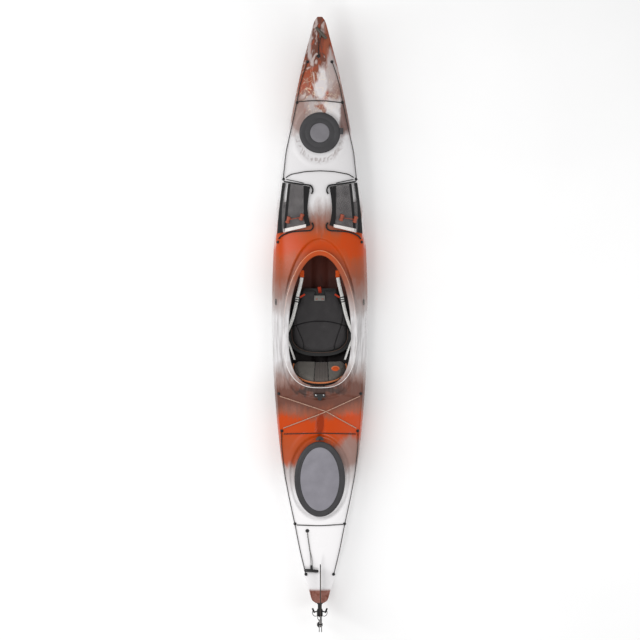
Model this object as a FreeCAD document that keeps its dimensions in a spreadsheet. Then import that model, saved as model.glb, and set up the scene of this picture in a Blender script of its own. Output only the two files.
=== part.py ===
"""A day-touring kayak with a folding stern rudder, built as an assembly of separate pieces.

Millimetres. +Y points to the bow, +X to starboard, +Z up. The origin is under the middle of the
overall length and beam, on the plane that the keel rests on.
"""

import FreeCAD, Part
import math
import os

import Sketcher
from FreeCAD import Placement, Rotation, Vector

doc = FreeCAD.newDocument("kayak")
sizes = doc.addObject("Spreadsheet::Sheet", "Sizes")
nodes = []

# ---------------------------------------------------------------- driving dimensions

SIZES = {
    # shell
    "wall": (5, "thickness of the moulded plastic"),
    "keel_flat": (45, "half width of the flat strip that the boat rests on"),
    "nose_start": (1950, "the moulding is solid ahead of here"),
    "tail_start": (-1780, "the moulding is solid behind here"),
    "deck_round": (2.6, "power that keeps the deck flat across its middle"),
    "deck_edge": (0.7, "power that rounds the deck down to its edge"),
    "bilge_round": (0.714, "power that gives the bottom its soft chines"),
    # cockpit
    "cockpit_centre": (-60, "widest place of the cockpit"),
    "cockpit_front": (508, "opening, from its widest place to its front"),
    "cockpit_rear": (339, "opening, from its widest place to its rear"),
    "cockpit_half": (203, "half width of the opening"),
    "lip_front": (36, "reach of the coaming lip at the front"),
    "lip_rear": (18, "reach of the coaming lip at the rear"),
    "lip_side": (41, "reach of the coaming lip at the sides"),
    "lip_thick": (8, "thickness of the coaming lip"),
    "coaming_depth": (24, "height of the coaming wall"),
    "coaming_wall": (7, "thickness of the coaming wall"),
    "coaming_high": (375, "top of the lip at its front end"),
    "coaming_low": (303, "top of the lip at its rear end"),
    # hatches
    "bow_hatch_at": (1244, "centre of the round hatch"),
    "bow_lid_radius": (133, "round lid"),
    "bow_panel_radius": (64, "stiff centre of the round lid"),
    "bow_rim_top": (334, "top of the round rim"),
    "stern_hatch_at": (-1005, "centre of the oval hatch"),
    "stern_lid_half_width": (165, "oval lid, across"),
    "stern_lid_half_length": (245, "oval lid, along"),
    "stern_rim_top": (287, "top of the oval rim"),
    "seal_width": (38, "soft edge of the oval lid"),
    "rim_thick": (12, "thickness of a hatch rim"),
    "lid_skirt": (9, "how far a lid reaches down outside its rim"),
    "lid_thick": (9, "thickness of a lid's soft top"),
    "panel_thick": (10, "thickness of a lid's stiff centre"),
    "lid_gap": (1, "gap between a rim and its lid"),
    # bulkheads
    "bulkhead_thick": (12, "foam bulkhead"),
    "bow_bulkhead_at": (1000, "face of the bow bulkhead"),
    "stern_bulkhead_at": (-572, "face of the stern bulkhead"),
    # rigging
    "line": (5, "diameter of the deck lines"),
    "bungee": (6, "diameter of the elastic cords"),
    "eye_base": (10, "radius of a pad eye's foot"),
    "eye_foot": (4, "thickness of a pad eye's foot"),
    "eye_ring": (8, "radius of a pad eye's ring"),
    "eye_bar": (2.5, "radius of a pad eye's bar"),
    # handles
    "handle_cord": (7, "diameter of the handles' cord"),
    "bow_grip": (104, "length of the bow grip"),
    "stern_grip": (95, "length of the stern grip"),
    "grip_radius": (10, "radius of a grip"),
    # seat
    "seat_rail": (24, "width of a seat rail"),
    "seat_rail_at": (120, "distance of a seat rail from the middle"),
    "pan_low": (46, "underside of the seat pan"),
    "pan_thick": (8, "thickness of the seat pan"),
    "cushion_thick": (42, "thickness of the seat cushion"),
    "seat_half": (186, "half width of the seat"),
    "seat_rear": (125, "seat, from its widest place to its rear"),
    "seat_lip": (22, "how far the pan reaches past the cushion"),
    "back_tall": (215, "height of the backrest along its slope"),
    "back_half": (178, "half width of the backrest"),
    "back_plate": (6, "thickness of the backrest's shell"),
    "back_cushion": (30, "thickness of the backrest's pad"),
    "back_lean": (132.1, "angle of the backrest's slope from the bow direction"),
    "webbing": (25, "width of the seat webbing"),
    "webbing_thick": (2.4, "thickness of the seat webbing"),
    # foot braces
    "rail_length": (330, "foot brace rail"),
    "rail_tall": (24, "height of a foot brace rail"),
    "rail_thick": (9, "thickness of a foot brace rail"),
    "rail_angle": (7.1, "angle between a rail and the middle line"),
    "pedal_tall": (100, "height of a pedal"),
    "pedal_wide": (62, "width of a pedal"),
    "pedal_thick": (10, "thickness of a pedal"),
    # rudder
    "stern_end": (-1812.5, "end of the moulding"),
    "pin_at": (-1864, "steering pin"),
    "pin_radius": (4, "radius of the steering pin"),
    "bore_gap": (0.05, "running clearance of a pin"),
    "pivot_at": (-1949, "lifting pivot, along the boat"),
    "pivot_high": (306, "lifting pivot, height"),
    "pivot_radius": (5, "radius of the lifting pivot"),
    "blade_long": (393, "blade, from its pivot to its tip"),
    "blade_thick": (7, "thickness of the blade"),
    "blade_at": (4, "the blade runs this far to starboard of the middle line"),
    "cheek_gap": (1.5, "clearance on each side of the blade"),
    "cheek_thick": (5, "thickness of a cheek of the rudder head"),
    "overall_half": (1997.5, "half of the overall length"),
}

# The table of offsets: station, half beam, keel, sheer, crown of the deck, fullness of the section.
OFFSETS = [
    (-1812.5, 26, 88, 250, 258, 0.30),
    (-1795, 50, 60, 249, 259, 0.30),
    (-1740, 67, 42, 248, 260, 0.30),
    (-1595, 109, 26, 245, 262, 0.35),
    (-1283, 178, 8, 238, 266, 0.50),
    (-971, 237, 0, 233, 270, 0.72),
    (-659, 276, 0, 232, 278, 0.90),
    (-309, 302, 0, 233, 300, 1.00),
    (0, 310, 0, 236, 352, 1.00),
    (315, 309, 0, 240, 366, 1.00),
    (705, 286, 0, 247, 345, 0.85),
    (1017, 243, 2, 256, 326, 0.65),
    (1328, 190, 17, 272, 320, 0.45),
    (1640, 124, 66, 292, 323, 0.28),
    (1900, 56, 176, 311, 327, 0.20),
    (1970, 35, 250, 315, 327, 0.20),
    (1997.5, 16, 292, 316, 325, 0.20),
]
COLUMNS = ("station", "half_beam", "keel", "sheer", "crown", "fullness")


def fill_sheet():
    rows = [(name, value, note) for name, (value, note) in SIZES.items()]
    for number, offsets in enumerate(OFFSETS):
        rows += [(f"{column}_{number}", value, "offset") for column, value in zip(COLUMNS, offsets)]
    for row, (name, value, note) in enumerate(rows, start=1):
        sizes.set(f"A{row}", name)
        sizes.set(f"B{row}", str(value))
        sizes.set(f"C{row}", note)
        sizes.setAlias(f"B{row}", name)
    doc.recompute()


fill_sheet()


def size(name):
    return float(sizes.get(name))


lines = [{column: size(f"{column}_{number}") for column in COLUMNS} for number in range(len(OFFSETS))]

# ---------------------------------------------------------------- lines of the boat


def fair(y, column):
    """The value of one column of the offsets at a place along the boat, on a fair curve."""
    last = len(lines) - 2
    i = max([k for k in range(last + 1) if lines[k]["station"] <= y] or [0])

    def slope(k):
        before = lines[max(k - 1, 0)]
        after = lines[min(k + 1, last + 1)]
        return (after[column] - before[column]) / (after["station"] - before["station"])

    start, end = lines[i], lines[i + 1]
    span = end["station"] - start["station"]
    part = (y - start["station"]) / span
    rise = part * part * (3 - 2 * part)
    bend = part * (1 - part) * ((1 - part) * slope(i) - part * slope(i + 1)) * span
    return start[column] + rise * (end[column] - start[column]) + bend


def edge_of_deck(y, inset=0.0):
    """Half width of the deck at its edge, a little inside the greatest beam."""
    tumblehome = 0.05
    return (fair(y, "half_beam") - inset) * (1 - tumblehome * fair(y, "fullness"))


def deck_height(x, y, inset=0.0):
    sheer = fair(y, "sheer")
    across = min(abs(x) / edge_of_deck(y, inset), 1.0)
    camber = (1 - across ** size("deck_round")) ** size("deck_edge")
    return sheer + (fair(y, "crown") - inset - sheer) * camber


def deck_normal(x, y):
    step = 2.0
    across = (deck_height(x + step, y) - deck_height(x - step, y)) / (2 * step)
    along = (deck_height(x, y + step) - deck_height(x, y - step)) / (2 * step)
    return Vector(-across, -along, 1).normalize()


def hull_side(y, inset=0.0):
    """Points of one half section, from the edge of the keel flat round the bilge to the sheer."""
    beam = fair(y, "half_beam") - inset
    keel = max(0.0, fair(y, "keel")) + inset
    sheer = fair(y, "sheer")
    full = fair(y, "fullness")
    flat = min(size("keel_flat"), 0.2 * fair(y, "half_beam"))
    tall = (sheer - keel) * (0.95 - 0.28 * full)
    points = [Vector(flat, y, keel)]
    for step in (0.25, 0.4, 0.55, 0.7, 0.85, 1.0):
        angle = math.radians(90 * step)
        out = (1 - full) * step + full * math.sin(angle) ** size("bilge_round")
        up = (1 - full) * step + full * (1 - math.cos(angle) ** size("bilge_round"))
        points.append(Vector(beam * out, y, keel + tall * up))
    for step in (0.5, 1.0):
        narrow = beam - (beam - edge_of_deck(y, inset)) * step ** 2
        points.append(Vector(narrow, y, keel + tall + (sheer - keel - tall) * step))
    return points


def deck_side(y, inset=0.0):
    """Points of one half of the deck's section, from its edge to the middle line."""
    steps = (1, 0.985, 0.95, 0.88, 0.75, 0.55, 0.3, 0)
    edge = edge_of_deck(y, inset)
    return [Vector(edge * step, y, deck_height(edge * step, y, inset)) for step in steps]


def mirrored(point):
    return Vector(-point.x, point.y, point.z)


def both_sides(half):
    """The points of a half section and of its mirror image, port first."""
    return [mirrored(point) for point in half[:-1]] + half[::-1]


def curve(points):
    spline = Part.BSplineCurve()
    spline.interpolate(points)
    return spline.toShape()


def hull_loops(y):
    """The edges of the hull's section: outside from port to starboard, and inside back again."""
    outer, inner = hull_side(y), hull_side(y, size("wall"))
    outside = [curve([mirrored(p) for p in outer[::-1]]), Part.makeLine(mirrored(outer[0]), outer[0])]
    outside.append(curve(outer))
    inside = [curve(inner[::-1]), Part.makeLine(inner[0], mirrored(inner[0]))]
    inside.append(curve([mirrored(p) for p in inner]))
    return outside, inside, outer[-1], inner[-1]


def hull_ring(y):
    outside, inside, outer, inner = hull_loops(y)
    rims = [Part.makeLine(outer, inner), Part.makeLine(mirrored(inner), mirrored(outer))]
    return Part.Wire(outside + [rims[0]] + inside + [rims[1]])


def hull_full(y):
    outside, _, outer, _ = hull_loops(y)
    return Part.Wire(outside + [Part.makeLine(outer, mirrored(outer))])


def deck_ring(y):
    outer, inner = both_sides(deck_side(y)), both_sides(deck_side(y, size("wall")))
    rims = [Part.makeLine(outer[-1], inner[-1]), Part.makeLine(inner[0], outer[0])]
    return Part.Wire([curve(outer), rims[0], curve(inner[::-1]), rims[1]])


def deck_full(y):
    outer = both_sides(deck_side(y))
    return Part.Wire([curve(outer), Part.makeLine(outer[-1], outer[0])])


def cavity_loop(y):
    inside = hull_loops(y)[1]
    return Part.Wire(inside + [curve(both_sides(deck_side(y, size("wall"))))])


def spaced(start, end, count):
    return [start + (end - start) * number / count for number in range(count + 1)]


STATIONS = 28
middle_stations = spaced(size("tail_start"), size("nose_start"), STATIONS)
nose_stations = [size("nose_start"), 1970, 1988, size("overall_half")]
tail_stations = [size("stern_end"), -1806, -1795, size("tail_start")]


def loft(loops):
    return Part.makeLoft(loops, True, True)


def moulding(ring, full):
    """A hollow half of the boat, with its solid nose and tail."""
    shell = loft([ring(y) for y in middle_stations])
    ends = [loft([full(y) for y in nose_stations]), loft([full(y) for y in tail_stations])]
    return shell.fuse(ends).removeSplitter()


# ---------------------------------------------------------------- making pieces


def keep(obj, label=None):
    """Marks an object as one piece of the boat, written to a file of its own."""
    obj.Label = label or obj.Label
    nodes.append(obj)
    return obj


def piece(label, shape):
    """A piece whose shape no primitive or sketch gives, as one object of the document."""
    obj = doc.addObject("Part::Feature", label)
    obj.Shape = shape
    obj.Placement = shape.Placement
    return keep(obj, label)


def primitive(kind, label, base, turn=Rotation(), **cells):
    """A box, cylinder, cone or torus whose sizes are bound to the sheet."""
    obj = doc.addObject(kind, label)
    for name, formula in cells.items():
        obj.setExpression(name, formula)
    obj.Placement = Placement(base, turn)
    return obj


def joined(label, objects):
    obj = doc.addObject("Part::MultiFuse", label)
    obj.Shapes = objects
    return keep(obj, label)


def less(label, base, tool):
    obj = doc.addObject("Part::Cut", label)
    obj.Base = base
    obj.Tool = tool
    return obj


def padded(label, draw, depth, place, reverse=False, both=False):
    """A body with one sketch on its XY plane, padded by a formula in the sheet's names."""
    body = doc.addObject("PartDesign::Body", label)
    sketch = body.newObject("Sketcher::SketchObject", label + "_outline")
    plane = [feature for feature in body.Origin.OriginFeatures if feature.Role == "XY_Plane"][0]
    sketch.AttachmentSupport = [(plane, "")]
    sketch.MapMode = "FlatFace"
    draw(sketch)
    pad = body.newObject("PartDesign::Pad", label + "_pad")
    pad.Profile = sketch
    pad.setExpression("Length", depth)
    pad.Reversed = reverse
    if both:
        pad.SideType = "Symmetric"
    body.Placement = place
    return body


def draw_circle(cell):
    def draw(sketch):
        sketch.addGeometry(Part.Circle(Vector(), Vector(0, 0, 1), size(cell)))
        sketch.addConstraint(Sketcher.Constraint("Coincident", 0, 3, -1, 1))
        radius = sketch.addConstraint(Sketcher.Constraint("Radius", 0, size(cell)))
        sketch.setExpression(f"Constraints[{radius}]", "Sizes." + cell)
    return draw


def draw_polygon(points):
    """A closed outline of straight edges through points in the sketch's plane."""
    def draw(sketch):
        corners = [Vector(x, y, 0) for x, y in points]
        for number, corner in enumerate(corners):
            sketch.addGeometry(Part.LineSegment(corner, corners[(number + 1) % len(corners)]))
        for number in range(len(corners)):
            following = (number + 1) % len(corners)
            sketch.addConstraint(Sketcher.Constraint("Coincident", number, 2, following, 1))
    return draw


def loop_of(points):
    """A closed smooth outline through points."""
    spline = Part.BSplineCurve()
    spline.interpolate(points, PeriodicFlag=True)
    return Part.Wire([spline.toShape()])


def prism(outline, low, high):
    """A column on a level outline, from one height to another."""
    base = outline.copy()
    base.translate(Vector(0, 0, low))
    return Part.Face(base).extrude(Vector(0, 0, high - low))


def oval(half_width, front, rear, centre, squareness=2.0, count=28):
    """A level outline, an ellipse ahead of its widest place and a squarer curve behind it."""
    points = []
    for number in range(count):
        angle = 2 * math.pi * number / count
        out, along = math.cos(angle), math.sin(angle)
        power = 1.0 if along >= 0 else 2 / squareness
        reach = front if along >= 0 else rear
        x = half_width * math.copysign(abs(out) ** power, out)
        y = reach * math.copysign(abs(along) ** power, along)
        points.append(Vector(x, centre + y, 0))
    return loop_of(points)


def cord_path(points):
    """Straight runs joined by tangent arcs, each as large as its two runs allow."""
    edges = []
    start = points[0]
    for before, corner, after in zip(points, points[1:], points[2:]):
        back, ahead = before - corner, after - corner
        reach = 0.45 * min(back.Length, ahead.Length)
        back.normalize()
        ahead.normalize()
        half_turn = (math.pi - back.getAngle(ahead)) / 2
        radius = reach / math.tan(half_turn)
        inward = (back + ahead).normalize()
        entry, leave = corner + back * reach, corner + ahead * reach
        peak = corner + inward * (radius / math.cos(half_turn) - radius)
        edges.append(Part.makeLine(start, entry))
        edges.append(Part.Arc(entry, peak, leave).toShape())
        start = leave
    edges.append(Part.makeLine(start, points[-1]))
    return Part.Wire(edges)


def tube(points, diameter):
    path = cord_path(points)
    heading = (points[1] - points[0]).normalize()
    section = Part.Wire([Part.makeCircle(diameter / 2, points[0], heading)])
    solid = path.makePipeShell([section], True, True)
    expected = math.pi * diameter ** 2 / 4 * path.Length
    if abs(solid.Volume - expected) > 0.02 * expected:
        raise ValueError(f"a cord's volume is {solid.Volume:.0f}, and should be {expected:.0f}")
    return solid


def tubes(routes, diameter):
    return Part.makeCompound([tube(route, diameter) for route in routes])


def above_deck(x, y, lift):
    """The point at a distance from the deck's surface, square to it."""
    return Vector(x, y, deck_height(x, y)) + deck_normal(x, y) * lift


def over_deck(plan, lift, spacing=70.0, hump=None):
    """A route laid over the deck: corners in plan, with points between them at even steps."""
    points = []
    for start, end in zip(plan, plan[1:]):
        count = max(2, round((Vector(*end, 0) - Vector(*start, 0)).Length / spacing))
        points += [(start[0] + (end[0] - start[0]) * n / count, start[1] + (end[1] - start[1]) * n / count)
                   for n in range(count)]
    points.append(plan[-1])
    route = []
    for x, y in points:
        extra = 0.0
        if hump:
            away = math.hypot(x - hump[0], y - hump[1])
            extra = hump[2] * math.exp(-(away / 55) ** 2)
        route.append(above_deck(x, y, lift) + Vector(0, 0, extra))
    return route


def other_side(plan):
    return [(-x, y) for x, y in plan]


def on_deck(shape, x, y, spin=0.0):
    """Moves a shape made at the origin on to the deck, square to its surface."""
    turn = Rotation(Vector(0, 0, 1), deck_normal(x, y)).multiply(Rotation(Vector(0, 0, 1), spin))
    moved = shape.copy()
    moved.Placement = Placement(above_deck(x, y, FOOT_GAP), turn)
    return moved


def deck_patch(rows, lift, thick):
    """A thin sheet lying over the deck, from the two ends of each row across it."""
    loops = []
    for (start_x, start_y), (end_x, end_y) in rows:
        across = [step / 4 for step in range(5)]
        row = [(start_x + (end_x - start_x) * part, start_y + (end_y - start_y) * part) for part in across]
        low = [Vector(x, y, deck_height(x, y) + lift) for x, y in row]
        high = [point + Vector(0, 0, thick) for point in low]
        sides = [Part.makeLine(low[-1], high[-1]), Part.makeLine(high[0], low[0])]
        loops.append(Part.Wire([curve(low), sides[0], curve(high[::-1]), sides[1]]))
    return loft(loops)


def strap(points, width, thick):
    """Flat webbing along a route, lying level across its width."""
    loops = []
    for number, point in enumerate(points):
        before, after = points[max(number - 1, 0)], points[min(number + 1, len(points) - 1)]
        across = (after - before).cross(Vector(0, 0, 1)).normalize() * (width / 2)
        up = Vector(0, 0, thick)
        corners = [point - across, point + across, point + across + up, point - across + up]
        loops.append(Part.makePolygon(corners + corners[:1]))
    return loft(loops)


def capsule(start, end, radius):
    """A rod with round ends."""
    heading = end - start
    rod = Part.makeCylinder(radius, heading.Length, start, heading)
    return rod.fuse([Part.makeSphere(radius, start), Part.makeSphere(radius, end)]).removeSplitter()


# ---------------------------------------------------------------- shell


def coaming_top(y):
    """Height of the coaming lip's top, which slopes down to the stern."""
    front = size("cockpit_centre") + size("cockpit_front") + size("lip_front")
    rear = size("cockpit_centre") - size("cockpit_rear") - size("lip_rear")
    return size("coaming_low") + (size("coaming_high") - size("coaming_low")) * (y - rear) / (front - rear)


def sloping_slab(below, thick):
    """A slab under the coaming's top plane, wider than the boat."""
    ends = (-700, 700)
    heights = [coaming_top(y) - below for y in ends]
    corners = [Vector(-400, ends[0], heights[0]), Vector(-400, ends[1], heights[1])]
    corners += [Vector(-400, ends[1], heights[1] - thick), Vector(-400, ends[0], heights[0] - thick)]
    return Part.Face(Part.makePolygon(corners + corners[:1])).extrude(Vector(800, 0, 0))


def cockpit_outline(extra_side, extra_front, extra_rear):
    squareness = 2.65
    return oval(size("cockpit_half") + extra_side, size("cockpit_front") + extra_front,
                size("cockpit_rear") + extra_rear, size("cockpit_centre"), squareness)


def coaming():
    low, high = 150, 500
    opening = prism(cockpit_outline(0, 0, 0), low, high)
    thick = size("coaming_wall")
    wall = prism(cockpit_outline(thick, thick, thick), low, high)
    lip = prism(cockpit_outline(size("lip_side"), size("lip_front"), size("lip_rear")), low, high)
    wall = wall.common(sloping_slab(0, size("coaming_depth")))
    lip = lip.common(sloping_slab(0, size("lip_thick")))
    return wall.fuse(lip).cut(opening), opening


def bow_rim():
    outer = size("bow_lid_radius") - size("lid_skirt") - size("lid_gap") - 4
    base = Vector(0, size("bow_hatch_at"), 298)
    tall = size("bow_rim_top") - base.z
    hole = Part.makeCylinder(outer - size("rim_thick"), 200, base - Vector(0, 0, 40))
    return Part.makeCylinder(outer, tall, base).cut(hole), hole


def stern_rim():
    centre, low = size("stern_hatch_at"), 250
    wide = size("stern_lid_half_width") - size("lid_skirt") - size("lid_gap") - 5
    long = size("stern_lid_half_length") - size("lid_skirt") - size("lid_gap") - 5
    outer = prism(oval(wide, long, long, centre), low, size("stern_rim_top"))
    thick = size("rim_thick")
    hole = prism(oval(wide - thick, long - thick, long - thick, centre), low - 40, 400)
    return outer.cut(hole), hole


def make_shell():
    """The hull, and the deck parted across its bulkheads into its bow, cockpit and stern."""
    piece("hull_shell", moulding(hull_ring, hull_full))
    deck = moulding(deck_ring, deck_full)
    for rim, hole in (coaming(), bow_rim(), stern_rim()):
        deck = deck.cut(hole).fuse(rim)
    deck = deck.removeSplitter()
    middle = size("bulkhead_thick") / 2
    cuts = [-2100, size("stern_bulkhead_at") + middle, size("bow_bulkhead_at") + middle, 2100]
    for label, start, end in zip(("stern_deck", "cockpit_deck", "bow_deck"), cuts, cuts[1:]):
        stretch = Part.makeBox(800, end - start, 600, Vector(-400, start, 0))
        piece(label, deck.common(stretch))


def inside_of_boat():
    return loft([cavity_loop(y) for y in middle_stations])


def make_bulkheads(cavity):
    for end in ("bow", "stern"):
        at = size(f"{end}_bulkhead_at")
        slab = Part.makeBox(700, size("bulkhead_thick"), 500, Vector(-350, at, -20))
        piece(f"{end}_bulkhead", slab.common(cavity))


# ---------------------------------------------------------------- hatch covers


def make_bow_lid():
    at, top = size("bow_hatch_at"), size("bow_rim_top")
    seat = top + size("lid_gap")
    outer = size("bow_lid_radius")
    skirt = size("lid_skirt")
    cap = Part.makeCylinder(outer, size("lid_thick") + skirt, Vector(0, at, seat - skirt))
    under = Part.makeCylinder(outer - skirt, skirt, Vector(0, at, seat - skirt))
    centre = Part.makeCylinder(size("bow_panel_radius"), 60, Vector(0, at, seat - 20))
    tab = Part.makeBox(24, 42, 5, Vector(outer - 4, at - 11, seat + 2))
    piece("bow_hatch_seal", cap.fuse(tab).cut(under).cut(centre))
    body = padded("bow_hatch_panel", draw_circle("bow_panel_radius"), "Sizes.panel_thick",
                  Placement(Vector(0, at, seat), Rotation()))
    keep(body)


def make_stern_lid():
    at, seat = size("stern_hatch_at"), size("stern_rim_top") + size("lid_gap")
    wide, long = size("stern_lid_half_width"), size("stern_lid_half_length")
    skirt, soft = size("lid_skirt"), size("seal_width")
    cap = prism(oval(wide, long, long, at), seat - skirt, seat + size("lid_thick"))
    under = prism(oval(wide - skirt, long - skirt, long - skirt, at), seat - skirt, seat)
    centre = prism(oval(wide - soft, long - soft, long - soft, at), seat - 20, seat + 40)
    tab_radius, tab_thick = 27, 5
    tab = Part.makeBox(2 * tab_radius, 13, tab_thick, Vector(-tab_radius, at + long - 6, seat + 2))
    tab = tab.fuse(Part.makeCylinder(tab_radius, tab_thick, Vector(0, at + long + 7, seat + 2)))
    piece("stern_hatch_seal", cap.fuse(tab).cut(under).cut(centre))
    plate = prism(oval(wide - soft, long - soft, long - soft, at), seat, seat + size("panel_thick"))
    inset = 14
    dome = prism(oval(wide - soft - inset, long - soft - inset, long - soft - inset, at), seat, seat + 15)
    piece("stern_hatch_panel", plate.fuse(dome).removeSplitter())


# ---------------------------------------------------------------- deck rigging

FOOT_GAP = 0.3
BUNGEE_GAP = 2.8
BOW_EYES = [(78, 1705), (146, 1442), (234, 944)]
SIDE_EYES = [(271, 536), (266, -450)]
STERN_EYES = [(246, -692), (160, -1297), (89, -1625)]
# The lines follow the deck's edge between the eyes.
BOW_LINE = [(78, 1705), (108, 1618), (130, 1535), (146, 1442), (166, 1345), (188, 1245), (215, 1120),
            (234, 944)]
STERN_LINE = [(246, -692), (245, -802), (224, -980), (196, -1130), (160, -1297), (126, -1470), (89, -1625)]


def pad_eye(extra=0.0):
    """A moulded foot with a ring standing on it."""
    foot = Part.makeCylinder(size("eye_base") + extra, size("eye_foot"))
    foot_top = Vector(0, 0, size("eye_foot"))
    ring = Part.makeTorus(size("eye_ring"), size("eye_bar"), foot_top, Vector(0, 1, 0))
    above = Part.makeBox(60, 60, 60, Vector(-30, -30, size("eye_foot") / 2))
    return foot.fuse(ring.common(above)).removeSplitter()


def make_pad_eyes():
    rows = {"bow_pad_eyes": BOW_EYES, "side_pad_eyes": SIDE_EYES, "stern_pad_eyes": STERN_EYES}
    for label, places in rows.items():
        eyes = [on_deck(pad_eye(), x, y) for x, y in places + other_side(places)]
        piece(label, Part.makeCompound(eyes))


def make_deck_lines():
    """Lines along both deck edges, through the rings of the pad eyes."""
    for label, places in (("bow_deck_line", BOW_LINE), ("stern_deck_line", STERN_LINE)):
        for side, plan in (("left", other_side(places)), ("right", places)):
            route = over_deck(plan, FOOT_GAP + size("eye_foot") + size("line") / 2 + 0.1, spacing=110)
            piece(f"{label}_{side}", tube(route, size("line")))


def make_bungees():
    rise = size("bungee") / 2 + BUNGEE_GAP
    half_arc = [(217, 955), (184, 975), (92, 992)]
    arc = over_deck(other_side(half_arc) + [(0, 997)] + half_arc[::-1], rise)
    cross = over_deck([(-134, 1448), (-40, 1453), (40, 1451), (134, 1441)], rise)
    piece("bow_bungees", tubes([arc, cross], size("bungee")))
    bar = over_deck([(-232, -712), (0, -706), (232, -712)], rise)
    under = over_deck([(-258, -466), (42, -566), (234, -674)], rise)
    above = over_deck([(258, -466), (42, -566), (-234, -674)], rise, hump=(42, -566, size("bungee") + 3))
    piece("stern_bungees", tubes([bar, under, above], size("bungee")))
    rear = over_deck([(-148, -1304), (0, -1309), (148, -1300)], rise)
    piece("rear_bungee", tube(rear, size("bungee")))


def make_side_loops():
    """Small cord loops, long and narrow, on the deck edge beside the cockpit."""
    corners = [(-5, -14), (-5, 14), (0, 19), (5, 14), (5, -14), (0, -19)]
    cord, lift = 2.2, 3
    loops = []
    for side in (-1, 1):
        loop = None
        for start, end in zip(corners, corners[1:] + corners[:1]):
            length = capsule(Vector(*start, lift), Vector(*end, lift), cord)
            loop = loop.fuse(length) if loop else length
        loops.append(on_deck(loop, side * 284, 146))
    piece("side_loops", Part.makeCompound(loops))


# ---------------------------------------------------------------- mesh deck pockets

# Across each pocket, from its bow edge to its stern edge: the ends of a row, as places on the deck.
POCKET_INNER = [(62, 893), (72, 825), (78, 755), (72, 690), (60, 642)]
POCKET_OUTER = [(233, 921), (243, 841), (253, 750), (262, 658), (266, 590)]
# How much of each row the parts of a pocket take up, from its inner end.
INNER_BAND = [(0, 0.24), (0, 0.18), (0, 0.14), (0, 0.15), (0, 0.15)]
NET = [(0.25, 0.70), (0.19, 0.69), (0.15, 0.68), (0.16, 0.70), (0.16, 0.72)]
MIDDLE_BAND = [(0.71, 0.80), (0.70, 0.79), (0.69, 0.78), (0.71, 0.79), (0.73, 0.81)]
OUTER_BAND = [(0.90, 1), (0.91, 1), (0.90, 1), (0.87, 1), (0.84, 1)]
HEM = [((88, 649), (226, 620)), ((88, 629), (226, 596))]
MESH_LIFT = 14.0
MESH_THICK = 2.0
# Where the toggles hang, which is not quite the same on both sides.
TOGGLES = {-1: ((114, 695), (194, 677)), 1: ((136, 691), (217, 680))}


def pocket_part(sign, shares, lift, thick):
    """A sheet over the deck that takes up a share of each row of a pocket."""
    rows = []
    for inner, outer, (low, high) in zip(POCKET_INNER, POCKET_OUTER, shares):
        ends = [(inner[0] + (outer[0] - inner[0]) * share, inner[1] + (outer[1] - inner[1]) * share)
                for share in (low, high)]
        rows.append([(sign * x, y) for x, y in ends])
    return deck_patch(rows, lift, thick)


def pocket_cords(sign):
    """The cord round a pocket's bow corner, the one along its stern edge and the thin one ahead of it."""
    top = [(54, 846), (45, 866), (50, 888), (66, 903), (130, 911), (190, 921), (227, 928)]
    mouth = [(51, 660), (43, 642), (47, 622), (66, 609), (110, 606), (160, 603), (205, 594), (245, 575),
             (262, 556)]
    thin = [(104, 917), (151, 928), (214, 942)]
    cords = [tube(over_deck([(sign * x, y) for x, y in plan], lift), thick)
             for plan, lift, thick in ((top, 9, 8), (mouth, 6, 8), (thin, 7, 5))]
    return cords


def pocket_toggles(sign):
    """Two moulded toggles on the mesh, joined by a short elastic."""
    above = MESH_LIFT + MESH_THICK + 9
    inner, outer = (Vector(sign * x, y, deck_height(x, y) + above) for x, y in TOGGLES[sign])
    reach = Vector(0, 15, 0)
    ends = [capsule(place - reach, place + reach, 6) for place in (inner, outer)]
    link = Part.makeCylinder(2.5, (outer - inner).Length, inner, outer - inner)
    return ends[0].fuse([ends[1], link]).removeSplitter()


def make_pockets():
    for side, sign in (("left", -1), ("right", 1)):
        piece(f"pocket_mesh_{side}", pocket_part(sign, NET, MESH_LIFT, MESH_THICK))
    bands = [pocket_part(sign, shares, MESH_LIFT - 5, 7.0)
             for sign in (-1, 1) for shares in (INNER_BAND, MIDDLE_BAND, OUTER_BAND)]
    piece("pocket_bands", Part.makeCompound(bands))
    piece("pocket_bungees", Part.makeCompound(pocket_cords(-1) + pocket_cords(1)))
    piece("pocket_toggles", Part.makeCompound([pocket_toggles(-1), pocket_toggles(1)]))
    hems = []
    for sign in (-1, 1):
        rows = [[(sign * x, y) for x, y in row] for row in HEM]
        hems.append(deck_patch(rows, MESH_LIFT + 2.6, 2.0))
    piece("pocket_hems", Part.makeCompound(hems))


# ---------------------------------------------------------------- carrying handles

BOW_HANDLE_EYE = Vector(-8, 1742, 0)
STERN_HANDLE_EYE = Vector(-81, -1342, 0)


# How far a cord runs straight before it goes into a grip's stem.
LEAD = 22


def grip(centre, along, length, stem_way, stem_radius, stem_length):
    """A round-ended bar with a short stem that the cord goes into."""
    half = along.normalize() * (length / 2 - size("grip_radius"))
    stem = Part.makeCylinder(stem_radius, stem_length, centre, stem_way)
    return capsule(centre - half, centre + half, size("grip_radius")).fuse(stem).removeSplitter()


def handle_cord(label, eye, centre, stem_way, stem_length, middle):
    """The cord from just clear of an eye's ring to the end of a grip's stem."""
    ring_top = deck_height(eye.x, eye.y) + size("eye_foot") + size("eye_ring")
    ahead = math.copysign(7.5, centre.y - eye.y)
    way = stem_way.normalize()
    route = [Vector(eye.x, eye.y + ahead, ring_top)]
    route += [Vector(x, y, deck_height(x, y) + lift) for x, y, lift in middle]
    route += [centre + way * (stem_length + LEAD), centre + way * stem_length]
    piece(label, tube(route, size("handle_cord")))


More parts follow.
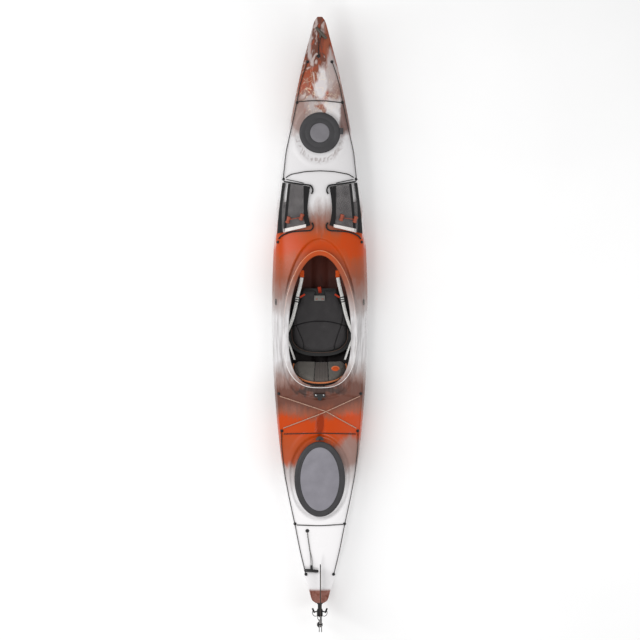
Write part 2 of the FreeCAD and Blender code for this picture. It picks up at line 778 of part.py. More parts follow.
def make_bow_handle():
    eye, stem_length, stem_way = BOW_HANDLE_EYE, 32, Vector(-8, -28, 0)
    piece("bow_handle_eye", on_deck(pad_eye(2), eye.x, eye.y))
    centre = Vector(9, 1891, deck_height(9, 1891) + size("grip_radius") + 2)
    bar = grip(centre, Vector(0.67, -0.74, 0), size("bow_grip"), stem_way, 7, stem_length)
    piece("bow_handle_grip", bar)
    handle_cord("bow_handle_cord", eye, centre, stem_way, stem_length, [(-9.5, 1780, 7), (-6.5, 1812, 6)])


def make_stern_handle():
    eye, stem_length, stem_way = STERN_HANDLE_EYE, 35, Vector(1, 34, 0)
    piece("stern_handle_eye", on_deck(pad_eye(2), eye.x, eye.y))
    centre = Vector(-55, -1601, deck_height(-55, -1601) + size("grip_radius") + 5)
    bar = grip(centre, Vector(1, -0.08, 0), size("stern_grip"), stem_way, 8, stem_length)
    piece("stern_handle_grip", bar)
    between = [(-78, -1380, 8), (-72, -1420, 6), (-66.5, -1462, 7), (-58.5, -1503, 6)]
    handle_cord("stern_handle_cord", eye, centre, stem_way, stem_length, between)


# ---------------------------------------------------------------- seat

SEAT_SPLIT = 2.0


def seat_front_outline(grow):
    """Half of the seat ahead of its fold, narrowing to the front."""
    side = [(186, SEAT_SPLIT), (172, 90), (134, 160), (120, 222), (104, 236)]
    return [(x + grow, y) for x, y in side]


def front_polygon(grow):
    half = seat_front_outline(grow)
    return half + [(-x, y) for x, y in half[::-1]]


def seat_rear_column(grow, low, high):
    """A column on the outline of the seat behind its fold."""
    centre = SEAT_SPLIT - 62
    whole = oval(size("seat_half") + grow, 300, size("seat_rear") + grow, centre, 2.5)
    behind = Part.makeBox(600, 600, high - low, Vector(-300, SEAT_SPLIT - 0.6 - 600, low))
    return prism(whole, low, high).common(behind)


def make_seat(cavity):
    low, thick = size("pan_low"), size("pan_thick")
    starts = [Vector(sign * size("seat_rail_at") - size("seat_rail") / 2, -185, 0) for sign in (-1, 1)]
    rails = [Part.makeBox(size("seat_rail"), 400, low, start).common(cavity) for start in starts]
    piece("seat_rails", Part.makeCompound(rails))
    floor = seat_rear_column(size("seat_lip"), low, low + thick)
    lip_high = low + thick + 34
    lip = seat_rear_column(size("seat_lip"), low, lip_high).cut(seat_rear_column(1, low, lip_high))
    behind = Part.makeBox(600, 400, 200, Vector(-300, -460, low))
    piece("seat_pan", floor.fuse(lip.common(behind)).removeSplitter())
    cushion = seat_rear_column(0, low + thick, low + thick + size("cushion_thick"))
    piece("seat_cushion", cushion)

    lift_low = low + 0.4
    pan = padded("leg_lift_pan", draw_polygon(front_polygon(-6)), "Sizes.pan_thick - 0.4",
                 Placement(Vector(0, 0, lift_low), Rotation()))
    keep(pan)
    notch = Part.makeBox(70, 60, 80, Vector(-35, 192, low))
    body = padded("leg_lift_block", draw_polygon(front_polygon(0)), "Sizes.cushion_thick",
                  Placement(Vector(0, 0, low + thick), Rotation()))
    cutter = doc.addObject("Part::Feature", "leg_lift_notch")
    cutter.Shape = notch
    keep(less("leg_lift_cushion", body, cutter), "leg_lift_cushion")
    pull = [Vector(2, 206, low + thick + 1), Vector(0, 226, low + thick + 16), Vector(-4, 244, low + thick + 22)]
    piece("leg_lift_pull", strap(pull, 20, 3))


def back_point(across, up, out):
    """A place on the backrest: across it, up its slope and out of its front face."""
    lean = math.radians(size("back_lean"))
    along = Vector(0, math.cos(lean), math.sin(lean))
    front = Vector(0, math.sin(lean), -math.cos(lean))
    return Vector(across, -250, 112) + along * up + front * out


def back_outline(shrink):
    """Half-moon outline of the backrest, flat along its foot."""
    def draw(sketch):
        half, tall = size("back_half") - shrink, size("back_tall") - shrink
        foot = 160 - shrink
        top = [Vector(half * math.cos(math.radians(a)), 62 + (tall - 62) * math.sin(math.radians(a)) ** 0.85, 0)
               for a in (15, 30, 45, 60, 75, 90)]
        side = [Vector(foot, shrink, 0), Vector(foot + 13, 26, 0), Vector(half, 62, 0)]
        right = side + top
        rim = Part.BSplineCurve()
        rim.interpolate(right + [mirrored(point) for point in right[-2::-1]])
        sketch.addGeometry(rim)
        sketch.addGeometry(Part.LineSegment(mirrored(right[0]), right[0]))
    return draw


def make_backrest():
    slope = Rotation(Vector(1, 0, 0), size("back_lean"))
    foot = back_point(0, 0, 0)
    keep(padded("backrest_shell", back_outline(4), "Sizes.back_plate", Placement(foot, slope)))
    keep(padded("backrest_pad", back_outline(0), "Sizes.back_cushion", Placement(foot, slope), reverse=True))
    centre = back_point(102, 96, size("back_cushion"))
    badge = primitive("Part::Ellipsoid", "backrest_badge_full", centre, slope)
    badge.Radius1, badge.Radius2, badge.Radius3 = 3, 30, 22
    front = Part.makeBox(80, 80, 20, Vector(-40, -40, -20))
    front.Placement = badge.Placement
    cutter = doc.addObject("Part::Feature", "badge_half")
    cutter.Shape = front
    half = doc.addObject("Part::Common", "backrest_badge")
    half.Base, half.Tool = badge, cutter
    keep(half, "backrest_badge")


STRAP_TAB = [(117, 353, 204), (117.3, 308, 188.5)]
STRAP_TAIL = [(117.5, 306, 187.6), (122, 280, 177), (131, 240, 158), (141, 203, 138), (146, 182, 129)]
STRAP_MAIN = [(152, 144, 127), (172, 62, 129), (196, -15, 132), (211, -60, 136), (210, -98, 140), (194, -142, 144),
              (178, -188, 148), (164, -230, 151)]
BUCKLE_AT = (148.5, 163, 124)


def side_strap(sign, route, width, thick):
    return strap([Vector(sign * x, y, z) for x, y, z in route], width, thick)


def buckle(sign):
    """A ladder buckle on the side webbing, turned a little inward to the bow."""
    wide, long, tall = size("webbing") + 10, 30, 9
    block = Part.makeBox(wide, long, tall, Vector(-wide / 2, -long / 2, 0))
    at_x, at_y, at_z = BUCKLE_AT
    block.Placement = Placement(Vector(sign * at_x, at_y, at_z), Rotation(Vector(0, 0, 1), sign * 12))
    return block


def make_straps():
    width, thick = size("webbing"), size("webbing_thick")
    for side, sign in (("left", -1), ("right", 1)):
        piece(f"strap_tail_{side}", side_strap(sign, STRAP_TAIL, width, thick))
        piece(f"strap_main_{side}", side_strap(sign, STRAP_MAIN, width, thick))
    tabs = [side_strap(sign, STRAP_TAB, width + 2, 2 * thick) for sign in (-1, 1)]
    piece("strap_tabs", Part.makeCompound(tabs))
    piece("strap_buckles", Part.makeCompound([buckle(-1), buckle(1)]))


def make_rear_anchor():
    """The plate behind the coaming that the backrest's rear strap bolts to."""
    y = -463
    half_width, half_length, thick = 36, 11, 12
    level = deck_height(45, y)
    plate = Part.makeBox(2 * half_width, 2 * half_length, 20, Vector(-half_width, y - half_length, level - 8))
    lobe = Part.makeCylinder(14, thick, Vector(0, y - 18, level))
    below = Part.makeBox(300, 300, 100, Vector(-150, y - 150, level - 100))
    anchor = plate.fuse(lobe).cut(below).removeSplitter()
    deck_top = deck_patch([((-60, y + 40), (60, y + 40)), ((-60, y - 60), (60, y - 60))], -40, 40.2)
    piece("rear_anchor", anchor.cut(deck_top))
    screws = [Part.makeSphere(6.5, Vector(x, y + 4, level + thick - 1)) for x in (-24.5, 24.5)]
    above = Part.makeBox(300, 300, 50, Vector(-150, y - 150, level + thick))
    piece("anchor_screws", Part.makeCompound([screw.common(above) for screw in screws]))


# ---------------------------------------------------------------- foot braces


def make_foot_braces(cavity):
    for side, sign in (("left", -1), ("right", 1)):
        turn = Rotation(Vector(0, 0, 1), sign * size("rail_angle"))
        corner = Vector(sign * 268, 640, 162)
        place = Placement(corner, turn)
        inward = -size("rail_thick") if sign > 0 else 0
        rail = Part.makeBox(size("rail_thick"), size("rail_length"), size("rail_tall"), Vector(inward, 0, 0))
        rail.Placement = place.multiply(rail.Placement)
        lugs = []
        for along in (22, 308):
            start = place.multVec(Vector(-sign * 1, along, size("rail_tall") / 2))
            lugs.append(Part.makeCylinder(9, 40, start, place.Rotation.multVec(Vector(sign, 0, 0))).common(cavity))
        piece(f"foot_rail_{side}", rail.fuse(lugs).removeSplitter())
        make_pedal(side, sign, place)


def make_pedal(side, sign, place):
    """A pedal on a carriage that slides along the inner face of its rail."""
    gap, along = 0.5, 165
    reach = size("rail_thick") + gap
    wide, tall, thick = size("pedal_wide"), size("pedal_tall"), size("pedal_thick")
    inner = -sign * reach
    carriage_x = inner - 14 if sign > 0 else inner
    carriage = Part.makeBox(14, 60, size("rail_tall") - 4, Vector(carriage_x, along - 30, 2))
    plate_x = inner - 8 - wide if sign > 0 else inner + 8
    plate = Part.makeBox(wide, thick, tall, Vector(plate_x, along - 30, -40))
    body = carriage.fuse(plate).removeSplitter()
    body.Placement = place.multiply(body.Placement)
    piece(f"foot_pedal_{side}", body)


# ---------------------------------------------------------------- rudder


def make_rudder_bracket():
    """A plate on the stern with two lugs that hold the steering pin."""
    end, pin = size("stern_end"), size("pin_at")
    plate = Part.makeBox(38, 6, 52, Vector(-19, end - 6, 204))
    solids = [plate]
    for low in (204, 250):
        arm = Part.makeBox(26, end - pin, 6, Vector(-13, pin, low))
        solids.append(arm.fuse(Part.makeCylinder(13, 6, Vector(0, pin, low))))
    hole = Part.makeCylinder(size("pin_radius") + size("bore_gap"), 100, Vector(0, pin, 190))
    piece("rudder_bracket", solids[0].fuse(solids[1:]).cut(hole).removeSplitter())
    shank = primitive("Part::Cylinder", "pin_shank", Vector(0, pin, 198),
                      Radius="Sizes.pin_radius", Height="63")
    top = primitive("Part::Cylinder", "pin_top", Vector(0, pin, 256.2), Radius="Sizes.pin_radius + 4", Height="4.8")
    joined("rudder_pin", [shank, top])


def rudder_horn(sign):
    """One steering horn, sweeping out and forward to a thick tip."""
    pin, high = size("pin_at"), 230
    root, bend, tip = (Vector(sign * x, pin + y, high) for x, y in ((14, -3), (37, -9), (46, 12)))
    return capsule(root, bend, 4.5).fuse(capsule(bend, tip, 6)).removeSplitter()


def cheek_faces(sign):
    """The inner and the outer face of one cheek, beside the blade."""
    inner = size("blade_at") + sign * (size("blade_thick") / 2 + size("cheek_gap"))
    return inner, inner + sign * size("cheek_thick")


def along_x(radius, start, end):
    """A level rod across the boat at the height of the lifting pivot."""
    low, high = min(start, end), max(start, end)
    return Part.makeCylinder(radius, high - low, Vector(low, size("pivot_at"), size("pivot_high")), Vector(1, 0, 0))


DOME_BASE, DOME_TOP, DOME_RADIUS = 9.5, 16.0, 18.0


def boss_dome(sign):
    """The domed outer end of a pivot boss, flat where the bolt's head seats."""
    ball_radius = 22.5
    away = math.sqrt(ball_radius ** 2 - DOME_RADIUS ** 2) - DOME_BASE
    ball = Part.makeSphere(ball_radius, Vector(-sign * away, size("pivot_at"), size("pivot_high")))
    low = DOME_BASE if sign > 0 else -DOME_TOP
    corner = Vector(low, size("pivot_at") - 50, size("pivot_high") - 50)
    return ball.common(Part.makeBox(DOME_TOP - DOME_BASE, 100, 100, corner))


def rudder_cheek(sign, low, top):
    """An arm from the rudder head up and back to the lifting pivot, with its boss."""
    pin, pivot, high, tail = size("pin_at"), size("pivot_at"), size("pivot_high"), -size("overall_half")
    inner, outer = cheek_faces(sign)
    outline = [(pin - 22, low + 4), (pin - 22, top), (pivot + 14, high + 18), (pivot - 20, high + 16),
               (tail, high + 6), (tail, high - 7), (pivot - 18, high - 16), (pin - 44, low + 4)]
    corners = [Vector(min(inner, outer), y, z) for y, z in outline]
    arm = Part.Face(Part.makePolygon(corners + corners[:1])).extrude(Vector(abs(outer - inner), 0, 0))
    if sign < 0:
        eyelet = Part.makeBox(60, 17, 200, Vector(outer - 30, pin - 56, low))
        link = [Vector(-13, pin - 33, 242), Vector(-13.5, pin - 48, 264), Vector(-4, pin - 63, 284)]
        arm = arm.cut(eyelet).fuse([capsule(link[0], link[1], 2.2), capsule(link[1], link[2], 2.2)])
    return arm.fuse([along_x(DOME_RADIUS, inner, sign * DOME_BASE), boss_dome(sign)])


def make_rudder_head():
    pin, low, top = size("pin_at"), 210.4, 249.6
    barrel = Part.makeCylinder(19, top - low, Vector(0, pin, low))
    block = Part.makeBox(38, 36, top - low, Vector(-19, pin - 36, low))
    solids = [block, rudder_horn(-1), rudder_horn(1), rudder_cheek(-1, low, top), rudder_cheek(1, low, top)]
    head = barrel
    for solid in solids:
        head = head.fuse(solid)
    hole = Part.makeCylinder(size("pin_radius") + size("bore_gap"), 100, Vector(0, pin, 190))
    bolt_hole = along_x(size("pivot_radius") + size("bore_gap"), -40, 40)
    piece("rudder_head", head.cut(hole).cut(bolt_hole).removeSplitter())
    loops = []
    for sign in (-1, 1):
        route = [(46, -1), (49, -12), (44, -27), (32, -36), (21.2, -33)]
        loops.append(tube([Vector(sign * x, pin + y, 238.2) for x, y in route], 4))
    piece("rudder_wire_loops", Part.makeCompound(loops))


def make_rudder_blade():
    """A flat blade, stowed pointing forward, with a narrow neck at its pivot."""
    long = size("blade_long")
    outline = [(-17, -10), (-12, -15), (100, -14), (240, -14), (long - 26, -8), (long, 20), (long - 4, 44),
               (long - 30, 62), (250, 76), (170, 72), (126, 34), (96, 15), (-10, 15), (-17, 8)]
    upright = Rotation(Vector(0, 1, 0), Vector(0, 0, 1), Vector(1, 0, 0), "ZXY")
    place = Placement(Vector(size("blade_at"), size("pivot_at"), size("pivot_high")), upright)
    body = padded("rudder_blade_plate", draw_polygon(outline), "Sizes.blade_thick", place, both=True)
    hole = primitive("Part::Cylinder", "blade_hole", Vector(-40, size("pivot_at"), size("pivot_high")),
                     Rotation(Vector(0, 0, 1), Vector(1, 0, 0)),
                     Radius="Sizes.pivot_radius + Sizes.bore_gap", Height="80")
    keep(less("rudder_blade", body, hole), "rudder_blade")


def make_pivot_bolt():
    reach, seat = 18.4, DOME_TOP + 0.1
    start = Vector(-reach, size("pivot_at"), size("pivot_high"))
    along = Rotation(Vector(0, 0, 1), Vector(1, 0, 0))
    shank = primitive("Part::Cylinder", "pivot_shank", start, along, Radius="Sizes.pivot_radius", Height=str(2 * reach))
    heads = [primitive("Part::Cylinder", f"pivot_head_{number}", Vector(x, start.y, start.z), along,
                       Radius="Sizes.pivot_radius + 3", Height=str(reach - seat))
             for number, x in enumerate((-reach, seat))]
    joined("rudder_pivot_bolt", [shank] + heads)


# ---------------------------------------------------------------- assembly


def make_all():
    cavity = inside_of_boat()
    make_shell()
    make_bulkheads(cavity)
    make_bow_lid()
    make_stern_lid()
    make_pad_eyes()
    make_deck_lines()
    make_bungees()
    make_side_loops()
    make_pockets()
    make_bow_handle()
    make_stern_handle()
    make_seat(cavity)
    make_backrest()
    make_straps()
    make_rear_anchor()
    make_foot_braces(cavity)
    make_rudder_bracket()
    make_rudder_head()
    make_rudder_blade()
    make_pivot_bolt()
    doc.recompute()


def check_all():
    for obj in doc.Objects:
        if "Invalid" in obj.State or "Error" in obj.State:
            raise ValueError(f"{obj.Label} failed: {obj.State}")
    for obj in nodes:
        if obj.Shape.isNull() or not obj.Shape.isValid():
            raise ValueError(f"{obj.Label} has no valid shape")
        if not obj.Shape.Solids:
            raise ValueError(f"{obj.Label} has no solid")


def write_all():
    os.makedirs("parts", exist_ok=True)
    for obj in nodes:
        obj.Shape.exportStep(f"parts/{obj.Label}.step")
    print(f"{len(nodes)} pieces written")


make_all()
check_all()
write_all()
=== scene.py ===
"""The looks of a touring kayak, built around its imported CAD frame. Metres, +Y to the bow, +Z up."""

import math

import bmesh
import bpy
from mathutils import Matrix, Vector, noise


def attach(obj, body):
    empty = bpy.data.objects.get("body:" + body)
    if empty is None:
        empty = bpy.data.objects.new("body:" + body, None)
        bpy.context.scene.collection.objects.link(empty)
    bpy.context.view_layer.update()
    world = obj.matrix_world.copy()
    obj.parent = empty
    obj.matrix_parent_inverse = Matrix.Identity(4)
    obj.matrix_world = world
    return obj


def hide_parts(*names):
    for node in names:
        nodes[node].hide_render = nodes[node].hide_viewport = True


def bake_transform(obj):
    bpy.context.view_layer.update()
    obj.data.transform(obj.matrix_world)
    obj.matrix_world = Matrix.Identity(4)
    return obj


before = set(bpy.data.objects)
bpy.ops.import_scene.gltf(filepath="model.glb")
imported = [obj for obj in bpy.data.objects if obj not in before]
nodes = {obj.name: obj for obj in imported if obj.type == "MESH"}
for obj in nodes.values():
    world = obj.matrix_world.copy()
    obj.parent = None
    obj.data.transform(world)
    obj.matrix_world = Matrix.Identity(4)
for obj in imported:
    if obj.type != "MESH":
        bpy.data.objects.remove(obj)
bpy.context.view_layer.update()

# ---------------------------------------------------------------- camera and staging


def make_camera():
    """A long lens straight above the boat, bow up."""
    data = bpy.data.cameras.new("camera")
    data.lens = 250
    data.clip_end = 200
    camera = bpy.data.objects.new("camera", data)
    camera.location = (0.0013, 0.0292, 29.17)
    bpy.context.scene.collection.objects.link(camera)
    bpy.context.scene.camera = camera


def make_light(name, place, width, length, power):
    """A softbox aimed at the middle of the boat."""
    data = bpy.data.lights.new(name, "AREA")
    data.shape = "RECTANGLE"
    data.size, data.size_y, data.energy = width, length, power
    light = bpy.data.objects.new(name, data)
    light.location = place
    light.rotation_euler = (-Vector(place)).to_track_quat("-Z", "Y").to_euler()
    light.visible_camera = False
    bpy.context.scene.collection.objects.link(light)


def make_staging():
    """Soft lamps on both sides and at both ends, a pale world and a paper floor."""
    make_light("softbox_port", (-3.6, 0.8, 4.2), 0.6, 6.0, 143)
    make_light("softbox_starboard", (3.8, -0.6, 4.4), 0.5, 6.0, 66)
    make_light("lamp_bow", (0.9, 4.6, 4.6), 0.9, 0.9, 16)
    make_light("lamp_stern", (-0.9, -4.6, 4.6), 0.9, 0.9, 60)
    world = bpy.data.worlds.new("studio")
    world.use_nodes = True
    world.node_tree.nodes["Background"].inputs["Color"].default_value = (1, 1, 1, 1)
    world.node_tree.nodes["Background"].inputs["Strength"].default_value = 0.62
    bpy.context.scene.world = world
    bpy.context.scene.view_settings.view_transform = "Standard"
    mesh = bpy.data.meshes.new("floor")
    far = 60
    mesh.from_pydata([(-far, -far, 0), (far, -far, 0), (far, far, 0), (-far, far, 0)], [], [(0, 1, 2, 3)])
    floor = bpy.data.objects.new("floor", mesh)
    bpy.context.scene.collection.objects.link(floor)
    mesh.materials.append(floor_paper())


# ---------------------------------------------------------------- materials


def linear(red, green, blue):
    """A colour given on the 0 to 255 screen scale, as the shader wants it."""
    return tuple((value / 255 / 12.92 if value < 10.3 else ((value / 255 + 0.055) / 1.055) ** 2.4)
                 for value in (red, green, blue))


def add(tree, kind, **settings):
    """A shader node with its options and its inputs set by name."""
    node = tree.nodes.new("ShaderNode" + kind)
    for name, value in settings.items():
        title = name.replace("_", " ")
        if title in node.inputs:
            node.inputs[title].default_value = value
        else:
            setattr(node, name, value)
    return node


def math_node(tree, operation, first, second=None):
    """Arithmetic on sockets and numbers."""
    node = add(tree, "Math", operation=operation)
    for socket, value in zip(node.inputs, (first, second)):
        if isinstance(value, (int, float)):
            socket.default_value = value
        elif value is not None:
            tree.links.new(value, socket)
    return node.outputs[0]


def shader_of(name, color, roughness, specular=0.5):
    """A material with its node tree and its shader, set to one plain colour."""
    material = bpy.data.materials.new(name)
    material.use_nodes = True
    tree = material.node_tree
    shader = tree.nodes["Principled BSDF"]
    shader.inputs["Base Color"].default_value = (*color, 1)
    shader.inputs["Roughness"].default_value = roughness
    shader.inputs["Specular IOR Level"].default_value = specular
    return material, tree, shader


def place_of(tree, scale=(1, 1, 1), kind="Object"):
    """Coordinates on the piece, in metres, stretched by a scale for each axis."""
    mapping = add(tree, "Mapping", Scale=scale)
    tree.links.new(add(tree, "TexCoord").outputs[kind], mapping.inputs["Vector"])
    return mapping.outputs["Vector"]


def noise_of(tree, scale=(1, 1, 1), detail=4.0, distortion=0.0, seed=0.0):
    """Noise from 0 to 1, with a number of cells per metre along each axis."""
    node = add(tree, "TexNoise", noise_dimensions="4D", Scale=1.0, Detail=detail, Distortion=distortion,
               W=seed)
    tree.links.new(place_of(tree, scale), node.inputs["Vector"])
    return node.outputs["Fac"]


def ramp_of(tree, value, stops):
    """Colours at positions from 0 to 1."""
    ramp = add(tree, "ValToRGB")
    elements = ramp.color_ramp.elements
    while len(elements) < len(stops):
        elements.new(0.5)
    for element, (position, color) in zip(elements, sorted(stops)):
        element.position = position
        element.color = (*color, 1)
    tree.links.new(value, ramp.inputs["Fac"])
    return ramp.outputs["Color"]


def grey(value):
    """The same number three times, for a grey colour or an even scale."""
    return (value, value, value)


def mixed(tree, share, first, second):
    """Two colours, sockets or constants, mixed by a socket."""
    node = add(tree, "MixRGB")
    tree.links.new(share, node.inputs["Fac"])
    for name, value in (("Color1", first), ("Color2", second)):
        if isinstance(value, tuple):
            node.inputs[name].default_value = (*value, 1)
        else:
            tree.links.new(value, node.inputs[name])
    return node.outputs["Color"]


def bump_by(tree, shader, height, depth):
    """Relief on the surface, with a depth in metres."""
    bump = add(tree, "Bump", Strength=1.0, Distance=depth)
    tree.links.new(height, bump.inputs["Height"])
    tree.links.new(bump.outputs["Normal"], shader.inputs["Normal"])


def uneven_gloss(tree, shader, low, high, scale=9.0):
    """Roughness that wanders between two values, as handled plastic does."""
    gloss = ramp_of(tree, noise_of(tree, grey(scale), 6), [(0.3, grey(low)), (0.7, grey(high))])
    tree.links.new(gloss, shader.inputs["Roughness"])


def axes_of(tree, vector):
    """The X, Y and Z of a vector, each as a socket of its own."""
    node = add(tree, "SeparateXYZ")
    tree.links.new(vector, node.inputs["Vector"])
    return node.outputs


def weave_of(tree, threads, kind="Object", turn=0.0):
    """Height of a plain weave with a number of threads per metre."""
    mapping = add(tree, "Mapping", Scale=grey(threads), Rotation=(0, 0, turn))
    tree.links.new(add(tree, "TexCoord").outputs[kind], mapping.inputs["Vector"])
    parts = axes_of(tree, mapping.outputs["Vector"])
    waves = []
    for axis in (0, 1):
        turns = math_node(tree, "MULTIPLY", parts[axis], math.pi)
        waves.append(math_node(tree, "SINE", turns))
    checker = add(tree, "TexChecker", Scale=1.0)
    tree.links.new(mapping.outputs["Vector"], checker.inputs["Vector"])
    over = math_node(tree, "MULTIPLY", math_node(tree, "ABSOLUTE", waves[0]), checker.outputs["Fac"])
    other = math_node(tree, "SUBTRACT", 1.0, checker.outputs["Fac"])
    under = math_node(tree, "MULTIPLY", math_node(tree, "ABSOLUTE", waves[1]), other)
    return math_node(tree, "ADD", over, under)


def floor_paper():
    """Pale, slightly uneven paper under the boat."""
    material, tree, shader = shader_of("floor_paper", grey(0.93), 0.9, 0.1)
    color = ramp_of(tree, noise_of(tree, grey(1.5), 3), [(0.2, grey(0.92)), (0.8, grey(0.95))])
    tree.links.new(color, shader.inputs["Base Color"])
    return material


def plastic(name, color, roughness=0.45, grain=500.0, depth=0.0002, specular=0.4):
    """Moulded plastic with a fine leathery grain and a little dust in it."""
    material, tree, shader = shader_of(name, color, roughness, specular)
    lighter = tuple(channel * 1.25 + 0.004 for channel in color)
    tone = ramp_of(tree, noise_of(tree, grey(14.0), 7), [(0.3, color), (0.75, lighter)])
    tree.links.new(tone, shader.inputs["Base Color"])
    uneven_gloss(tree, shader, roughness - 0.07, roughness + 0.1, 30.0)
    bump_by(tree, shader, noise_of(tree, grey(grain), 3), depth)
    return material


def metal(name, color, roughness, stretch=(8, 260, 260)):
    """Brushed or coated metal with fine lines along one axis."""
    material, tree, shader = shader_of(name, color, roughness)
    shader.inputs["Metallic"].default_value = 1.0
    lines = noise_of(tree, stretch, 5)
    darker = tuple(channel * 0.72 for channel in color)
    tree.links.new(ramp_of(tree, lines, [(0.3, darker), (0.7, color)]), shader.inputs["Base Color"])
    tree.links.new(ramp_of(tree, lines, [(0.3, grey(roughness + 0.12)), (0.7, grey(roughness))]),
                   shader.inputs["Roughness"])
    bump_by(tree, shader, lines, 0.0001)
    return material


def cloth(name, color, threads=700.0, turn=0.0, depth=0.0003, kind="Object", specular=0.2):
    """Woven fabric: threads in relief, and a worn, slightly uneven dye."""
    material, tree, shader = shader_of(name, color, 0.85, specular)
    shader.inputs["Sheen Weight"].default_value = 0.15
    threads_up = weave_of(tree, threads, kind, turn)
    dark = tuple(channel * 0.55 for channel in color)
    light = tuple(channel * 1.3 + 0.003 for channel in color)
    worn = ramp_of(tree, noise_of(tree, grey(18.0), 7), [(0.3, color), (0.75, light)])
    tree.links.new(mixed(tree, threads_up, dark, worn), shader.inputs["Base Color"])
    bump_by(tree, shader, threads_up, depth)
    return material


def rope(name, color, fleck, dark_astern_of=None):
    """Braided cord: two shades of yarn crossing at a slant, and a dark length at its stern end."""
    material, tree, shader = shader_of(name, color, 0.8, 0.25)
    yarns = weave_of(tree, 420.0, "Object", math.radians(38))
    tone = mixed(tree, ramp_of(tree, noise_of(tree, grey(260.0), 2), [(0.45, grey(0)), (0.6, grey(1))]),
                 color, fleck)
    dark = tuple(channel * 0.4 for channel in color)
    braid = mixed(tree, yarns, dark, tone)
    if dark_astern_of is not None:
        parts = axes_of(tree, place_of(tree))
        astern = math_node(tree, "LESS_THAN", parts["Y"], dark_astern_of)
        braid = mixed(tree, astern, braid, linear(50, 46, 44))
    tree.links.new(braid, shader.inputs["Base Color"])
    bump_by(tree, shader, yarns, 0.0006)
    return material


def mesh_cloth(name):
    """Open mesh: dark yarns with holes between them."""
    material, tree, shader = shader_of(name, linear(108, 104, 105), 0.8, 0.2)
    yarns = weave_of(tree, 330.0, "Object", math.radians(45))
    tone = ramp_of(tree, noise_of(tree, grey(25.0), 5),
                   [(0.3, linear(86, 83, 84)), (0.75, linear(114, 111, 111))])
    tree.links.new(tone, shader.inputs["Base Color"])
    cover = ramp_of(tree, yarns, [(0.22, grey(0)), (0.42, grey(1))])
    tree.links.new(cover, shader.inputs["Alpha"])
    bump_by(tree, shader, yarns, 0.0004)
    return material


# The plastics that run into each other in the moulding; the tone for the band behind the cockpit and the dark
# orange for the recess behind it are painted shade.
PLASTICS = {
    "white": (234, 232, 233),
    "pale": (212, 210, 211),
    "grey": (176, 166, 164),
    "taupe": (144, 116, 108),
    "rust": (140, 78, 56),
    "brown": (102, 62, 50),
    # Painted shade: the dark band behind the cockpit's rear step.
    "painted_shade": (58, 47, 44),
    "amber": (172, 70, 24),
    "orange": (184, 62, 0),
    # Painted shade: a darker orange for the recess behind the cockpit.
    "recess_shade": (132, 40, 0),
}
# Which plastic is on top at each place along the boat, in metres from the middle, stern first.
BLEND = [
    (-1.10, "white"), (-0.94, "grey"), (-0.88, "taupe"), (-0.80, "rust"), (-0.75, "amber"),
    (-0.70, "orange"),
    # The brown from -0.51 to -0.42, behind the cockpit, is partly the plastic's colour and partly painted
    # shade under the step there.
    (-0.61, "orange"), (-0.57, "rust"), (-0.51, "brown"), (-0.42, "brown"), (-0.37, "taupe"),
    (-0.31, "grey"),
    (-0.24, "pale"), (0.05, "pale"), (0.11, "grey"), (0.20, "taupe"), (0.30, "rust"), (0.46, "amber"),
    (0.52, "orange"), (0.58, "amber"), (0.63, "rust"), (0.70, "taupe"), (0.76, "grey"), (0.83, "pale"),
    (1.30, "pale"), (1.38, "grey"), (1.46, "taupe"), (1.60, "rust"), (1.72, "brown"),
]
# Clouds of another plastic in it, two of them painted shade: x, y, half width, half length, and plastic.
CLOUDS = [
    (0.015, 1.565, 0.035, 0.10, "pale"), (0.075, 1.64, 0.035, 0.12, "grey"),
    (0.12, 1.50, 0.045, 0.08, "taupe"), (0.09, 1.39, 0.09, 0.07, "pale"), (-0.05, 1.42, 0.04, 0.05, "grey"),
    (-0.145, 1.36, 0.06, 0.12, "taupe"),
    (0.172, 1.36, 0.04, 0.11, "brown"), (0.008, 1.405, 0.03, 0.025, "rust"),
    # The grey strip along the bow's left edge is painted highlight: the left flank where the port lamp falls
    # on it.
    (-0.058, 1.86, 0.014, 0.16, "grey"), (0.045, 1.83, 0.022, 0.13, "rust"),
    (-0.19, -0.81, 0.12, 0.09, "amber"), (0.21, -0.84, 0.11, 0.09, "taupe"),
    (-0.235, 0.55, 0.09, 0.10, "orange"), (0.235, 0.54, 0.09, 0.09, "orange"),
    (-0.290, 0.69, 0.018, 0.15, "pale"), (0.290, 0.69, 0.018, 0.15, "pale"),
    # Painted shade: the dark band behind the cockpit, and the darker orange in the recess behind it.
    (0.0, -0.433, 0.16, 0.022, "painted_shade"), (0.002, -0.645, 0.024, 0.07, "recess_shade"),
]


def warped_place(tree):
    """Coordinates on the boat, pushed about by noise as the colours were when the plastic flowed."""
    push = add(tree, "TexNoise", Scale=1.0, Detail=6.0, Distortion=0.6)
    tree.links.new(place_of(tree, (16, 7, 16)), push.inputs["Vector"])
    centred = add(tree, "VectorMath", operation="SUBTRACT")
    centred.inputs[1].default_value = (0.5, 0.5, 0.5)
    tree.links.new(push.outputs["Color"], centred.inputs[0])
    reach = add(tree, "VectorMath", operation="MULTIPLY")
    reach.inputs[1].default_value = (0.09, 0.16, 0.0)
    tree.links.new(centred.outputs["Vector"], reach.inputs[0])
    moved = add(tree, "VectorMath", operation="ADD")
    tree.links.new(place_of(tree), moved.inputs[0])
    tree.links.new(reach.outputs["Vector"], moved.inputs[1])
    return moved.outputs["Vector"]


